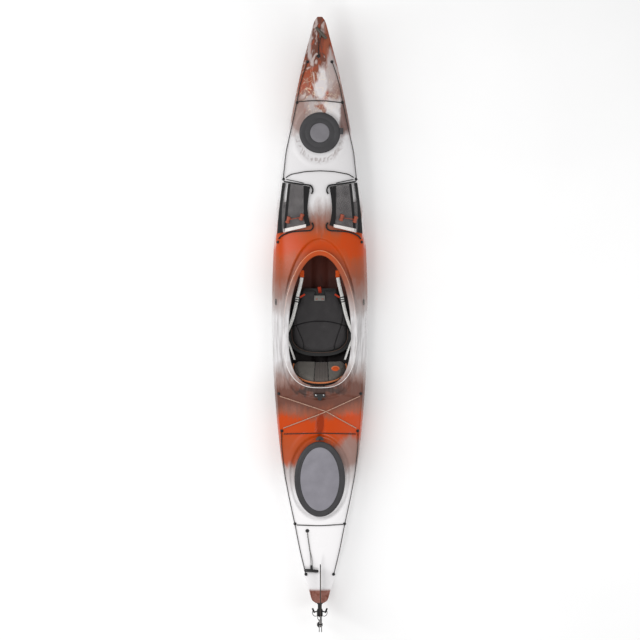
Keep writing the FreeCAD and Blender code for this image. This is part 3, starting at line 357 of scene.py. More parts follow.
def patch_of(tree, x, y, half_width, half_length, place=None):
    """1 in the middle of an oval place on the boat, falling to 0 at its edge."""
    mapping = add(tree, "Mapping", Scale=(1 / half_width, 1 / half_length, 0),
                  Location=(-x / half_width, -y / half_length, 0))
    tree.links.new(place or place_of(tree), mapping.inputs["Vector"])
    ball = add(tree, "TexGradient", gradient_type="SPHERICAL")
    tree.links.new(mapping.outputs["Vector"], ball.inputs["Vector"])
    return ball.outputs["Fac"]


# The colour ramp along the boat runs from this far astern of the middle to this far ahead of it.
RAMP_REACH = 2.0
# Where the stern steps down.
STERN_STEP = -1.721
# Middle of the ring of brown marks round the bow hatch, and its reach across and along the boat.
HATCH_MARKS_MIDDLE = 1.234
HATCH_MARKS_REACH = (0.165, 0.19)


def ramp_place(y):
    """A place along the boat as a share of the colour ramp."""
    return (y + RAMP_REACH) / (2 * RAMP_REACH)


def ramp_share(tree, along):
    """The same for a socket that holds the place along the boat."""
    return math_node(tree, "MULTIPLY", math_node(tree, "ADD", along, RAMP_REACH), 0.5 / RAMP_REACH)


def blended_plastic():
    """Rotomoulded plastic whose colours run into each other, with clouds, veins and streaks, and painted
    shade behind the cockpit.
    """
    material, tree, shader = shader_of("blended_plastic", linear(220, 215, 215), 0.3, 0.22)
    parts = axes_of(tree, place_of(tree))
    along = parts["Y"]
    drifts = (((4, 2.2, 4), 6, 3.1, 0.14), ((34, 11, 34), 6, 7.7, 0.11), ((150, 50, 150), 3, 1.3, 0.04))
    for scale, detail, seed, reach in drifts:
        drift = math_node(tree, "SUBTRACT", noise_of(tree, scale, detail, 0.8, seed), 0.5)
        along = math_node(tree, "ADD", along, math_node(tree, "MULTIPLY", drift, reach))
    share = ramp_share(tree, along)
    color = ramp_of(tree, share, [(ramp_place(y), linear(*PLASTICS[name])) for y, name in BLEND])
    color = with_marble(tree, color)
    color = with_clouds(tree, color)
    color = with_hatch_ring_marks(tree, color)
    color = with_tail(tree, color, parts["Y"])
    color = with_streaks(tree, color)
    color = with_veins(tree, color)
    tree.links.new(color, shader.inputs["Base Color"])
    uneven_gloss(tree, shader, 0.24, 0.38, 6.0)
    bump_by(tree, shader, noise_of(tree, grey(140.0), 4), 0.00025)
    return material


def with_clouds(tree, color):
    """Clouds of another colour, drawn out by the flow; the two behind the cockpit are painted shade."""
    place = warped_place(tree)
    for x, y, half_width, half_length, name in CLOUDS:
        patch = patch_of(tree, x, y, half_width * 1.4, half_length * 1.4, place)
        amount = ramp_of(tree, patch, [(0.05, grey(0)), (0.40, grey(0.85))])
        color = mixed(tree, amount, color, linear(*PLASTICS[name]))
    return color


def with_marble(tree, color):
    """Rust and pale swirls over the bow."""
    region = ramp_of(tree, patch_of(tree, 0, 1.68, 0.9, 0.60), [(0.15, grey(0)), (0.45, grey(1))])
    swirl = noise_of(tree, (12, 7, 12), 6, 2.2, 8.8)
    for low, high, screen in ((0.52, 0.60, (158, 66, 36)), (0.47, 0.40, (198, 184, 180))):
        stops = [(low, grey(0)), (high, grey(0.7))]
        amount = math_node(tree, "MULTIPLY", ramp_of(tree, swirl, stops), region)
        color = mixed(tree, amount, color, linear(*screen))
    return color


def with_hatch_ring_marks(tree, color):
    """Brown marks round the recess of the round hatch, on its side towards the cockpit."""
    across, along = HATCH_MARKS_REACH
    mapping = add(tree, "Mapping", Scale=(1 / across, 1 / along, 0), Location=(0, -HATCH_MARKS_MIDDLE / along, 0))
    tree.links.new(place_of(tree), mapping.inputs["Vector"])
    away = add(tree, "VectorMath", operation="LENGTH")
    tree.links.new(mapping.outputs["Vector"], away.inputs[0])
    half = math_node(tree, "MULTIPLY", away.outputs["Value"], 0.5)
    ring = ramp_of(tree, half, [(0.39, grey(0)), (0.42, grey(1)), (0.45, grey(1)), (0.53, grey(0))])
    mark_noise = ramp_of(tree, noise_of(tree, (30, 20, 30), 6, 1.4, 6.1), [(0.46, grey(0)), (0.70, grey(0.8))])
    parts = axes_of(tree, mapping.outputs["Vector"])
    near = ramp_of(tree, math_node(tree, "ADD", parts["Y"], 1.0), [(0.75, grey(1)), (1.0, grey(0))])
    amount = math_node(tree, "MULTIPLY", math_node(tree, "MULTIPLY", ring, mark_noise), near)
    return mixed(tree, amount, color, linear(112, 88, 82))


def with_tail(tree, color, along):
    """The stern's lowered end is reddish brown up to its step."""
    share = ramp_share(tree, along)
    step = ramp_place(STERN_STEP)
    tail = ramp_of(tree, share, [(step - 0.0006, grey(1)), (step + 0.0006, grey(0))])
    brown = ramp_of(tree, noise_of(tree, grey(38.0), 6, 0.8),
                    [(0.35, linear(118, 68, 54)), (0.65, linear(152, 106, 96))])
    return mixed(tree, tail, color, brown)


def with_streaks(tree, color):
    """Grey streaks that run along the boat beside the cockpit."""
    thin = noise_of(tree, (70, 5, 70), 5, 0.4, 5.5)
    region = patch_of(tree, 0, -0.11, 0.9, 0.40)
    amount = math_node(tree, "MULTIPLY", ramp_of(tree, thin, [(0.42, grey(0)), (0.68, grey(0.8))]), region)
    return mixed(tree, amount, color, linear(112, 104, 102))


def with_veins(tree, color):
    """Pale hair lines where the colours cracked apart while the plastic flowed."""
    ridges = noise_of(tree, (13, 9, 13), 3, 1.6, 2.2)
    line = math_node(tree, "ABSOLUTE", math_node(tree, "SUBTRACT", ridges, 0.5))
    thin = ramp_of(tree, line, [(0.0, grey(0.7)), (0.010, grey(0.4)), (0.018, grey(0.0))])
    region = patch_of(tree, -0.03, 1.50, 0.2, 0.22)
    amount = math_node(tree, "MULTIPLY", thin, region)
    return mixed(tree, amount, color, linear(232, 214, 188))


def shaded_inside_plastic():
    """The same plastic seen from inside, darkened as painted shade: dull, dark red-brown at the feet and
    nearly black under the seat.
    """
    material, tree, shader = shader_of("shaded_inside_plastic", linear(60, 36, 32), 0.6, 0.2)
    parts = axes_of(tree, place_of(tree))
    drift = math_node(tree, "MULTIPLY", math_node(tree, "SUBTRACT", noise_of(tree, grey(12.0), 5), 0.5),
                      0.25)
    share = math_node(tree, "ADD", math_node(tree, "ADD", parts["Y"], 0.5), drift)
    stops = [(0.64, linear(26, 20, 20)), (0.76, linear(90, 48, 40)), (0.94, linear(104, 52, 42))]
    color = ramp_of(tree, share, stops)
    tree.links.new(color, shader.inputs["Base Color"])
    uneven_gloss(tree, shader, 0.5, 0.7, 12.0)
    bump_by(tree, shader, noise_of(tree, grey(220.0), 3), 0.0004)
    return material


def pale_edge_highlight():
    """The coaming's pale edge, partly its own colour and partly a painted highlight: white round the rear,
    tan at the front.
    """
    material, tree, shader = shader_of("pale_edge_highlight", linear(220, 216, 214), 0.25)
    parts = axes_of(tree, place_of(tree))
    share = math_node(tree, "ADD", parts["Y"], 0.5)
    # The edge colour along the boat: partly the lip's own pale and tan, partly a painted highlight.
    worn = ramp_of(tree, share, [(0.20, linear(236, 232, 230)), (0.50, linear(206, 202, 202)),
                                 (0.75, linear(178, 116, 82)), (0.95, linear(214, 122, 64))])
    dulled = tuple(channel * 0.6 for channel in linear(206, 202, 202))
    patchy = ramp_of(tree, noise_of(tree, grey(60.0), 5), [(0.35, grey(0.0)), (0.65, grey(0.35))])
    tree.links.new(mixed(tree, patchy, worn, dulled), shader.inputs["Base Color"])
    uneven_gloss(tree, shader, 0.2, 0.35)
    return material


def blade_metal():
    """Brushed aluminium of the rudder blade, with a black cap on its tip."""
    color = linear(78, 73, 70)
    material, tree, shader = shader_of("blade_metal", color, 0.42)
    lines = noise_of(tree, (260, 8, 260), 5)
    parts = axes_of(tree, place_of(tree, kind="Generated"))
    cap = ramp_of(tree, parts["Y"], [(0.880, grey(0)), (0.884, grey(1))])
    brushed = ramp_of(tree, lines, [(0.3, tuple(channel * 0.72 for channel in color)), (0.7, color)])
    tree.links.new(mixed(tree, cap, brushed, linear(30, 29, 30)), shader.inputs["Base Color"])
    tree.links.new(math_node(tree, "SUBTRACT", 0.9, cap), shader.inputs["Metallic"])
    bump_by(tree, shader, lines, 0.0001)
    return material


def make_materials():
    """Every material of the boat, by the name that the pieces ask for."""
    black = linear(24, 23, 24)
    return {
        "blend": blended_plastic(),
        "inside": shaded_inside_plastic(),
        "black": plastic("black_plastic", black, 0.42),
        "rubber": plastic("lid_rubber", linear(48, 47, 49), 0.55, 700.0, 0.00015, 0.35),
        "panel": plastic("lid_plastic", linear(118, 116, 123), 0.5, 900.0, 0.00015, 0.4),
        "bow_panel": plastic("bow_lid_plastic", linear(104, 102, 106), 0.55, 900.0, 0.00015, 0.35),
        "orange": plastic("orange_plastic", linear(205, 84, 36), 0.4),
        "toggle": plastic("toggle_plastic", linear(136, 62, 40), 0.45),
        # Black plastic made darker still, as painted shade, for the parts under and around the seat.
        "dark": plastic("shaded_black_plastic", linear(17, 16, 17), 0.4),
        # Lighter than the black stern grip: partly the bow grip's own olive-grey, partly a painted highlight.
        "grip": plastic("grip_plastic_with_highlight", linear(70, 64, 56), 0.4),
        "pale_badge": plastic("badge_rim", linear(232, 128, 84), 0.4),
        "foam": plastic("foam", linear(66, 66, 68), 0.9, 900.0, 0.0006, 0.15),
        "seat": cloth("seat_fabric", linear(68, 66, 67), 620.0, math.radians(45)),
        # Near-black for the faces along the seams: painted shade in the sewn grooves.
        "seam": cloth("seam_groove_shade", linear(24, 23, 24), 620.0, math.radians(45)),
        "back": cloth("back_fabric", linear(100, 96, 91), 620.0, math.radians(45)),
        "back_rib": cloth("back_rib_fabric", linear(86, 80, 76), 380.0),
        "orange_trim": cloth("orange_trim", linear(196, 118, 74), 900.0),
        "grey_web": cloth("grey_webbing", linear(150, 148, 143), 520.0),
        "red_web": cloth("red_webbing", linear(214, 70, 40), 520.0, math.radians(45)),
        "orange_web": cloth("orange_webbing", linear(226, 88, 28), 520.0, math.radians(45)),
        "hem": cloth("hem_webbing", linear(228, 221, 218), 520.0),
        "white_web": cloth("white_webbing", linear(250, 249, 246), 520.0, math.radians(45)),
        "black_web": cloth("black_webbing", linear(26, 25, 26), 520.0, math.radians(45)),
        "brown_trim": cloth("brown_trim", linear(96, 76, 66), 700.0),
        "rope": rope("dark_rope", linear(36, 35, 35), linear(72, 70, 66)),
        "tan_bungee": rope("tan_bungee", linear(190, 146, 126), linear(214, 182, 164),
                           dark_astern_of=-0.694),
        "grey_rope": rope("grey_rope", linear(92, 90, 88), linear(170, 168, 164)),
        "mesh": mesh_cloth("pocket_mesh"),
        "steel": metal("steel", grey(0.62), 0.25),
        "rail": metal("rail_metal", grey(0.30), 0.4, (260, 8, 260)),
        "coat": plastic("rudder_coat", linear(14, 13, 14), 0.38, 900.0, 0.0001, 0.4),
        "blade": blade_metal(),
        "pale_edge_highlight": pale_edge_highlight(),
    }


# ---------------------------------------------------------------- lines of the boat

# Station, half beam, keel, sheer, crown of the deck, in millimetres, and fullness of the section.
OFFSETS = [
    (-1812.5, 26, 88, 250, 258, 0.30),
    (-1795, 50, 60, 249, 259, 0.30),
    (-1740, 67, 42, 248, 260, 0.30),
    (-1595, 109, 26, 245, 262, 0.35),
    (-1283, 178, 8, 238, 266, 0.50),
    (-971, 237, 0, 233, 270, 0.72),
    (-659, 276, 0, 232, 278, 0.90),
    (-309, 302, 0, 233, 300, 1.00),
    (0, 310, 0, 236, 352, 1.00),
    (315, 309, 0, 240, 366, 1.00),
    (705, 286, 0, 247, 345, 0.85),
    (1017, 243, 2, 256, 326, 0.65),
    (1328, 190, 17, 272, 320, 0.45),
    (1640, 124, 66, 292, 323, 0.28),
    (1900, 56, 176, 311, 327, 0.20),
    (1970, 35, 250, 315, 327, 0.20),
    (1997.5, 16, 292, 316, 325, 0.20),
]
STERN_END, BOW_END = -1.8125, 1.9975


def fair(y):
    """Half beam, keel, sheer, crown and fullness at a place along the boat, in metres."""
    mm = y * 1000
    i = max([k for k in range(len(OFFSETS) - 1) if OFFSETS[k][0] <= mm] or [0])
    start, end = OFFSETS[i], OFFSETS[i + 1]
    before, after = OFFSETS[max(i - 1, 0)], OFFSETS[min(i + 2, len(OFFSETS) - 1)]
    span = end[0] - start[0]
    part = (mm - start[0]) / span
    rise = part * part * (3 - 2 * part)
    values = []
    for column in range(1, 6):
        leaving = (end[column] - before[column]) / (end[0] - before[0])
        arriving = (after[column] - start[column]) / (after[0] - start[0])
        bend = part * (1 - part) * ((1 - part) * leaving - part * arriving) * span
        values.append(start[column] + rise * (end[column] - start[column]) + bend)
    return [value / 1000 for value in values[:4]] + values[4:]


def smooth_step(value, low, high):
    """0 up to low, 1 from high on, and a smooth slope between them."""
    part = min(max((value - low) / (high - low), 0.0), 1.0)
    return part * part * (3 - 2 * part)


def ridge(value, middle, half, soft):
    """1 within half of the middle, falling softly to 0 outside."""
    return 1 - smooth_step(abs(value - middle), half, half + soft)


def bare_deck(x, y, inset=0.0):
    """The deck's height before its moulded details."""
    half_beam, _, sheer, crown, full = fair(y)
    edge = (half_beam - inset) * (1 - 0.05 * full)
    across = min(abs(x) / edge, 1.0)
    return sheer + (crown - inset - sheer) * (1 - across ** 2.6) ** 0.7


COCKPIT_AT, COCKPIT_HALF, COCKPIT_FRONT, COCKPIT_REAR = -0.060, 0.203, 0.508, 0.339
BOW_HATCH_AT, STERN_HATCH_AT = 1.244, -1.005


def from_coaming(x, y):
    """How far a place is outside the cockpit opening, as a share of the opening's size."""
    along = y - COCKPIT_AT
    reach, power = (COCKPIT_FRONT, 2.0) if along > 0 else (COCKPIT_REAR, 2.65)
    return ((abs(x) / COCKPIT_HALF) ** power + (abs(along) / reach) ** power) ** (1 / power)


def relief(x, y):
    """Moulded details of the deck: recesses, grooves and steps."""
    rise = 0.0
    if y > 1.0:
        away = math.hypot(x / 0.165, (y - BOW_HATCH_AT + 0.01) / 0.19)
        rise -= 0.007 * (1 - smooth_step(away, 0.80, 1.02))
        rise += 0.003 * ridge(away, 1.06, 0.02, 0.12)
    if 0.52 < y < 0.92:
        strength = ridge(y, 0.705, 0.09, 0.05)
        rise += 0.0035 * strength * (ridge(x, -0.012, 0.002, 0.009) + ridge(x, 0.029, 0.002, 0.009))
    if -0.5 < y < 0.75:
        around = from_coaming(x, y)
        rise -= 0.015 * smooth_step(y, 0.10, 0.30) * (1 - smooth_step(around, 1.195, 1.228))
        rise -= 0.008 * smooth_step(y, -0.05, -0.20) * ridge(around, 1.235, 0.012, 0.03)
    if -0.60 < y < -0.36:
        bent = y + 0.25 * abs(x) ** 1.6
        rise -= 0.006 * (1 - smooth_step(bent, -0.452, -0.443)) * smooth_step(y, -0.60, -0.50)
    if -0.74 < y < -0.52:
        rise -= 0.009 * ridge(x, 0.002, 0.026, 0.005) * ridge(y, -0.645, 0.055, 0.008)
    if -1.32 < y < -0.70:
        away = math.hypot(x / 0.205, (y - STERN_HATCH_AT - 0.01) / 0.285)
        rise -= 0.012 * (1 - smooth_step(away, 0.90, 1.00))
        rise += 0.003 * ridge(away, 1.06, 0.02, 0.10)
    rise -= 0.006 * (1 - smooth_step(y, -1.722, -1.716))
    return rise


def deck_z(x, y):
    """Height of the deck with its relief, which fades out towards the seam."""
    half_beam, _, _, _, full = fair(y)
    edge = half_beam * (1 - 0.05 * full)
    return bare_deck(x, y) + relief(x, y) * (1 - smooth_step(abs(x) / edge, 0.80, 0.95))


def half_hull(y, inset=0.0, count=26):
    """Half section of the hull, from the keel round the bilge to the sheer."""
    half_beam, keel, sheer, _, full = fair(y)
    beam, keel = half_beam - inset, max(0.0, keel) + inset
    flat = min(0.045, 0.2 * half_beam)
    tall = (sheer - keel) * (0.95 - 0.28 * full)
    points = [Vector((0, y, keel)), Vector((flat, y, keel))]
    for step in range(1, count + 1):
        part = step / count
        angle = math.radians(90 * part)
        out = (1 - full) * part + full * math.sin(angle) ** 0.714
        up = (1 - full) * part + full * (1 - max(math.cos(angle), 0.0) ** 0.714)
        if beam * out > flat:
            points.append(Vector((beam * out, y, keel + tall * up)))
        else:
            points.append(Vector((flat + part * 1e-4, y, keel + tall * up * 0.3)))
    edge = (half_beam - inset) * (1 - 0.05 * full)
    for part in (0.25, 0.5, 0.75, 1.0):
        points.append(Vector((beam - (beam - edge) * part ** 2, y,
                              keel + tall + (sheer - keel - tall) * part)))
    return points


# ---------------------------------------------------------------- mesh tools


def spaced(start, end, count):
    """Evenly spaced numbers from start to end, both included."""
    return [start + (end - start) * number / count for number in range(count + 1)]


def new_piece(name, points, faces, materials, body, slot, uvs=None, smooth=True):
    """A mesh object that rides on a body and wears the materials given; its slot is not used."""
    mesh = bpy.data.meshes.new(name)
    mesh.from_pydata([tuple(point) for point in points], [], faces)
    mesh.validate()
    if uvs:
        layer = mesh.uv_layers.new(name="UVMap")
        for loop in mesh.loops:
            layer.data[loop.index].uv = uvs[loop.vertex_index]
    for material in materials:
        mesh.materials.append(material)
    if smooth:
        mesh.shade_smooth()
    piece = bpy.data.objects.new(name, mesh)
    bpy.context.scene.collection.objects.link(piece)
    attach(piece, body)
    return piece


def grid_faces(rows, columns, wrap_rows=False, wrap_columns=False, start=0):
    """Quads of a grid of points, row by row."""
    faces = []
    for row in range(rows if wrap_rows else rows - 1):
        for column in range(columns if wrap_columns else columns - 1):
            next_row, next_column = (row + 1) % rows, (column + 1) % columns
            corners = ((row, column), (row, next_column), (next_row, next_column), (next_row, column))
            faces.append(tuple(start + r * columns + c for r, c in corners))
    return faces


def joined(parts):
    """Several (points, faces) lists as one."""
    points, faces = [], []
    for more_points, more_faces in parts:
        faces += [tuple(index + len(points) for index in face) for face in more_faces]
        points += more_points
    return points, faces


def smoothed(points, per_run=8):
    """A smooth route through points."""
    points = [Vector(point) for point in points]
    route = []
    for number in range(len(points) - 1):
        a, b = points[max(number - 1, 0)], points[number]
        c, d = points[number + 1], points[min(number + 2, len(points) - 1)]
        for step in range(per_run):
            t = step / per_run
            route.append(0.5 * (2 * b + (c - a) * t + (2 * a - 5 * b + 4 * c - d) * t ** 2
                                + (3 * b - 3 * c + d - a) * t ** 3))
    route.append(points[-1])
    return route


def swept(path, section, closed=False, up_at=None):
    """Points and faces of a section carried along a path; section(number) gives (side, up) pairs."""
    rows = []
    last = len(path) - 1
    for number, point in enumerate(path):
        if closed:
            way = path[(number + 1) % len(path)] - path[number - 1]
        else:
            way = path[min(number + 1, last)] - path[max(number - 1, 0)]
        up = up_at(point) if up_at else Vector((0, 0, 1))
        side = way.cross(up).normalized()
        up = side.cross(way).normalized()
        rows.append([point + side * across + up * high for across, high in section(number)])
    columns = len(rows[0])
    points = [point for row in rows for point in row]
    faces = grid_faces(len(rows), columns, wrap_rows=closed, wrap_columns=True)
    if not closed:
        faces += [tuple(range(columns))[::-1],
                  tuple(len(points) - columns + column for column in range(columns))]
    return points, faces


def circle(radius, count=10):
    """Points on a circle, as a cross-section to sweep."""
    return [(radius * math.cos(2 * math.pi * n / count), radius * math.sin(2 * math.pi * n / count))
            for n in range(count)]


def tube(path, radius, closed=False, up_at=None):
    """A round bar along a path."""
    ring = circle(radius)
    return swept(path, lambda number: ring, closed, up_at)


def band(path, width, thick, up_at=None):
    """Flat webbing with rounded, slightly thicker edges."""
    half, deep = width / 2, thick / 2
    ring = [(-half, 0), (-half + deep, -deep), (0, -deep * 0.8), (half - deep, -deep),
            (half, 0), (half - deep, deep), (0, deep * 0.8), (-half + deep, deep)]
    return swept(path, lambda number: ring, False, up_at)


def deck_up(point):
    """The direction square to the deck."""
    step = 0.004
    across = (bare_deck(point.x + step, point.y) - bare_deck(point.x - step, point.y)) / (2 * step)
    along = (bare_deck(point.x, point.y + step) - bare_deck(point.x, point.y - step)) / (2 * step)
    return Vector((-across, -along, 1)).normalized()


def laid(plan, lift):
    """A smooth route over the deck through places in plan, at a height square to its surface."""
    flat = smoothed([(x, y, 0) for x, y in plan], 10)
    return [Vector((p.x, p.y, bare_deck(p.x, p.y))) + deck_up(p) * lift for p in flat]


def lathe(profile, centre, count=96):
    """A turned shape from (radius, height) pairs, about an upright axis."""
    rows = [[Vector((centre.x + radius * math.cos(a), centre.y + radius * math.sin(a), centre.z + high))
             for radius, high in profile]
            for a in [2 * math.pi * n / count for n in range(count)]]
    points = [point for row in rows for point in row]
    return points, grid_faces(count, len(profile), wrap_rows=True)


def rounded_box(size, place, turn, bevel=0.0015, segments=3):
    """A box with rounded edges, turned and placed."""
    shape = bmesh.new()
    bmesh.ops.create_cube(shape, size=1.0)
    bmesh.ops.scale(shape, vec=Vector(size), verts=shape.verts)
    bmesh.ops.bevel(shape, geom=list(shape.edges), offset=bevel, segments=segments, affect="EDGES",
                    profile=0.5)
    bmesh.ops.transform(shape, matrix=Matrix.Translation(place) @ turn.to_4x4(), verts=shape.verts)
    points = [vertex.co.copy() for vertex in shape.verts]
    faces = [tuple(vertex.index for vertex in face.verts) for face in shape.faces]
    shape.free()
    return points, faces


# ---------------------------------------------------------------- free cords

BOW_CORD = [(-0.0080, 1.7495, 0.3365), (-0.0095, 1.7800, 0.3321), (-0.0065, 1.8120, 0.3317),
            (-0.0058, 1.8391, 0.3388), (0.0002, 1.8602, 0.3388)]
STERN_CORD = [(-0.0810, -1.3495, 0.2742), (-0.0780, -1.3800, 0.2697), (-0.0720, -1.4200, 0.2676),
              (-0.0665, -1.4620, 0.2683), (-0.0585, -1.5030, 0.2673), (-0.0533, -1.5440, 0.2747),
              (-0.0540, -1.5660, 0.2747)]
CORD_WIDTH = 0.007


def cord_line(name, route):
    """A smooth line along a cord's route."""
    data = bpy.data.curves.new(name, "CURVE")
    data.dimensions = "3D"
    spline = data.splines.new("NURBS")
    spline.points.add(len(route) - 1)
    for point, place in zip(spline.points, route):
        point.co = (*place, 1)
    spline.order_u = 3
    spline.use_endpoint_u = True
    spline.resolution_u = 12
    return bpy.data.objects.new(name, data)


def points_along(line):
    """Points on the smooth line of a curve."""
    mesh = bpy.data.meshes.new_from_object(line)
    points = [vertex.co.copy() for vertex in mesh.vertices]
    bpy.data.meshes.remove(mesh)
    return points


def make_handle_cord(name, route, node, body, material, twists, parting, gap):
    """Two strands along the cord's line, twisted at first and side by side with a gap after the parting."""
    line = cord_line(name + "_line", route)
    bpy.context.scene.collection.objects.link(line)
    bpy.context.view_layer.update()
    path = points_along(line)
    bpy.data.objects.remove(line)
    last = len(path) - 1
    strands = []
    for phase in (0, math.pi):
        strand = []
        for number, point in enumerate(path):
            part = number / last
            way = (path[min(number + 1, last)] - path[max(number - 1, 0)]).normalized()
            side = way.cross(Vector((0, 0, 1))).normalized()
            up = side.cross(way)
            angle = phase + 2 * math.pi * twists * min(part / parting, 1.0)
            away = CORD_WIDTH * 0.24
            away += (gap / 2 - away) * smooth_step(part, parting, parting + 0.2)
            strand.append(point + (side * math.cos(angle) + up * math.sin(angle)) * away)
        strands.append(tube(strand, CORD_WIDTH * 0.27))
    points, faces = joined(strands)
    piece = new_piece(name, points, faces, [material], body, "rope")
    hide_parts(node)


# ---------------------------------------------------------------- hull, deck and coaming


def cockpit_outline(extra_side, extra_front, extra_rear, count=240):
    """The cockpit's outline in plan, some way outside the opening."""
    outline = []
    for number in range(count):
        angle = 2 * math.pi * number / count
        out, along = math.cos(angle), math.sin(angle)
        power = 1.0 if along >= 0 else 2 / 2.65
        reach = COCKPIT_FRONT + extra_front if along >= 0 else COCKPIT_REAR + extra_rear
        x = (COCKPIT_HALF + extra_side) * math.copysign(abs(out) ** power, out)
        outline.append((x, COCKPIT_AT + reach * math.copysign(abs(along) ** power, along)))
    return outline


def coaming_top(y):
    """Height of the coaming's top edge, which rises towards the bow."""
    return 0.303 + 0.072 * (y + 0.417) / 0.901


def in_a_hole(x, y):
    """Whether a place on the deck is inside the cockpit or a hatch."""
    bow = math.hypot(x, y - BOW_HATCH_AT) < 0.112
    stern = math.hypot(x / 0.144, (y - STERN_HATCH_AT) / 0.224) < 1
    return bow or stern or from_coaming(x, y) < 1.01


def make_deck(materials):
    """The deck's outer and inner surfaces, open at the cockpit and the hatches."""
    parts, inner_faces = [], 0
    for fine in (True, False):
        stations = spaced(STERN_END, BOW_END, 760 if fine else 190)
        columns = 120 if fine else 40
        rows = []
        for y in stations:
            half_beam, _, _, _, full = fair(y)
            inset = 0.0 if fine else 0.006
            edge = (half_beam - min(inset, half_beam * 0.5)) * (1 - 0.05 * full)
            steps = [math.sin(math.pi / 2 * s) for s in spaced(-1, 1, columns)]
            if fine:
                rows.append([Vector((edge * s, y, deck_z(edge * s, y))) for s in steps])
            else:
                rows.append([Vector((edge * s, y, bare_deck(edge * s, y, inset) - 0.012)) for s in steps])
        points = [point for row in rows for point in row]
        faces = []
        for face in grid_faces(len(rows), columns + 1):
            middle = sum((points[index] for index in face), Vector()) / 4
            if not in_a_hole(middle.x, middle.y):
                faces.append(face)
        inner_faces = len(faces)
        parts.append((points, faces))
    points, faces = joined(parts)
    deck = new_piece("deck_moulding", points, faces, [materials["blend"], materials["inside"]], "hull",
                     "hull_plastic")
    # The inner faces take the inside material, whose dark colour is painted shade.
    for polygon in deck.data.polygons[-inner_faces:]:
        polygon.material_index = 1
    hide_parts("bow_deck", "cockpit_deck", "stern_deck")


def make_hull(materials):
    """The hull's outer and inner skins with its closed ends."""
    parts, inner_faces = [], 0
    for inset, count in ((0.0, 380), (0.006, 120)):
        ends = (STERN_END, BOW_END) if not inset else (STERN_END + 0.04, BOW_END - 0.05)
        rows = []
        for y in spaced(*ends, count):
            half = half_hull(y, inset)
            rows.append([Vector((-p.x, p.y, p.z)) for p in half[:0:-1]] + half)
        points = [point for row in rows for point in row]
        faces = grid_faces(len(rows), len(rows[0]))
        inner_faces = len(faces)
        parts.append((points, faces))
    for y in (STERN_END, BOW_END):
        half_beam, _, _, _, full = fair(y)
        edge = half_beam * (1 - 0.05 * full)
        half = half_hull(y)
        under = [Vector((-p.x, p.y, p.z)) for p in half[:0:-1]] + half
        over = [Vector((edge * s, y, deck_z(edge * s, y))) for s in spaced(1, -1, 20)][1:-1]
        ring = under + over
        parts.insert(1, (ring, [tuple(range(len(ring)))]))
    points, faces = joined(parts)
    hull = new_piece("hull_moulding", points, faces, [materials["blend"], materials["inside"]], "hull",
                     "hull_plastic")
    # The inner faces take the inside material, whose dark colour is painted shade.
    for polygon in hull.data.polygons[-inner_faces:]:
        polygon.material_index = 1
    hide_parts("hull_shell")


def make_coaming(materials):
    """The cockpit's rolled lip on its wall, with a pale line round its edge, partly its own colour and partly
    a painted highlight.
    """
    inner = cockpit_outline(0, 0, 0)
    outer = cockpit_outline(0.041, 0.036, 0.018)
    rows = []
    for (x, y), (far_x, far_y) in zip(inner, outer):
        out = Vector((far_x - x, far_y - y, 0))
        lip = out.length
        out.normalize()
        shape = [(0.004, -0.052), (0.000, -0.046), (0.000, -0.006), (0.0015, -0.002), (0.005, 0.0)]
        shape += [(lip * 0.5, 0.0012), (lip - 0.008, 0.0006), (lip - 0.004, -0.001), (lip - 0.001, -0.004)]
        shape += [(lip, -0.007), (lip - 0.002, -0.009), (0.010, -0.009), (0.008, -0.014), (0.008, -0.050)]
        row = []
        for away, high in shape:
            place = Vector((x, y, 0)) + out * away
            place.z = coaming_top(place.y) + high
            row.append(place)
        rows.append(row)
    points = [point for row in rows for point in row]
    columns = len(rows[0])
    faces = grid_faces(len(rows), columns, wrap_rows=True)
    coaming = new_piece("cockpit_coaming", points, faces, [materials["blend"], materials["pale_edge_highlight"]],
                        "hull", "hull_plastic")
    # The strip of faces along the lip's outer edge takes the pale edge: a painted highlight over the lip's
    # own pale colour.
    edge = 6
    for polygon in coaming.data.polygons:
        if polygon.index % (columns - 1) == edge:
            polygon.material_index = 1


def make_rims(materials):
    """The upright rims that the hatch covers press over."""
    bow = lathe([(0.107, -0.04), (0.107, -0.001), (0.109, 0.0), (0.117, 0.0), (0.119, -0.002),
                 (0.119, -0.04)],
                Vector((0, BOW_HATCH_AT, 0.334)))
    piece = new_piece("bow_hatch_rim", *bow, [materials["blend"]], "hull", "hull_plastic")
    path = [Vector((0.144 * math.cos(a), STERN_HATCH_AT + 0.224 * math.sin(a), 0.287))
            for a in [2 * math.pi * n / 120 for n in range(120)]]
    ring = [(-0.006, -0.04), (-0.006, -0.001), (-0.004, 0.0), (0.004, 0.0), (0.006, -0.002), (0.006, -0.04)]
    stern = swept(path, lambda number: ring, closed=True)
    new_piece("stern_hatch_rim", *stern, [materials["blend"]], "hull", "hull_plastic")


# ---------------------------------------------------------------- hatch covers


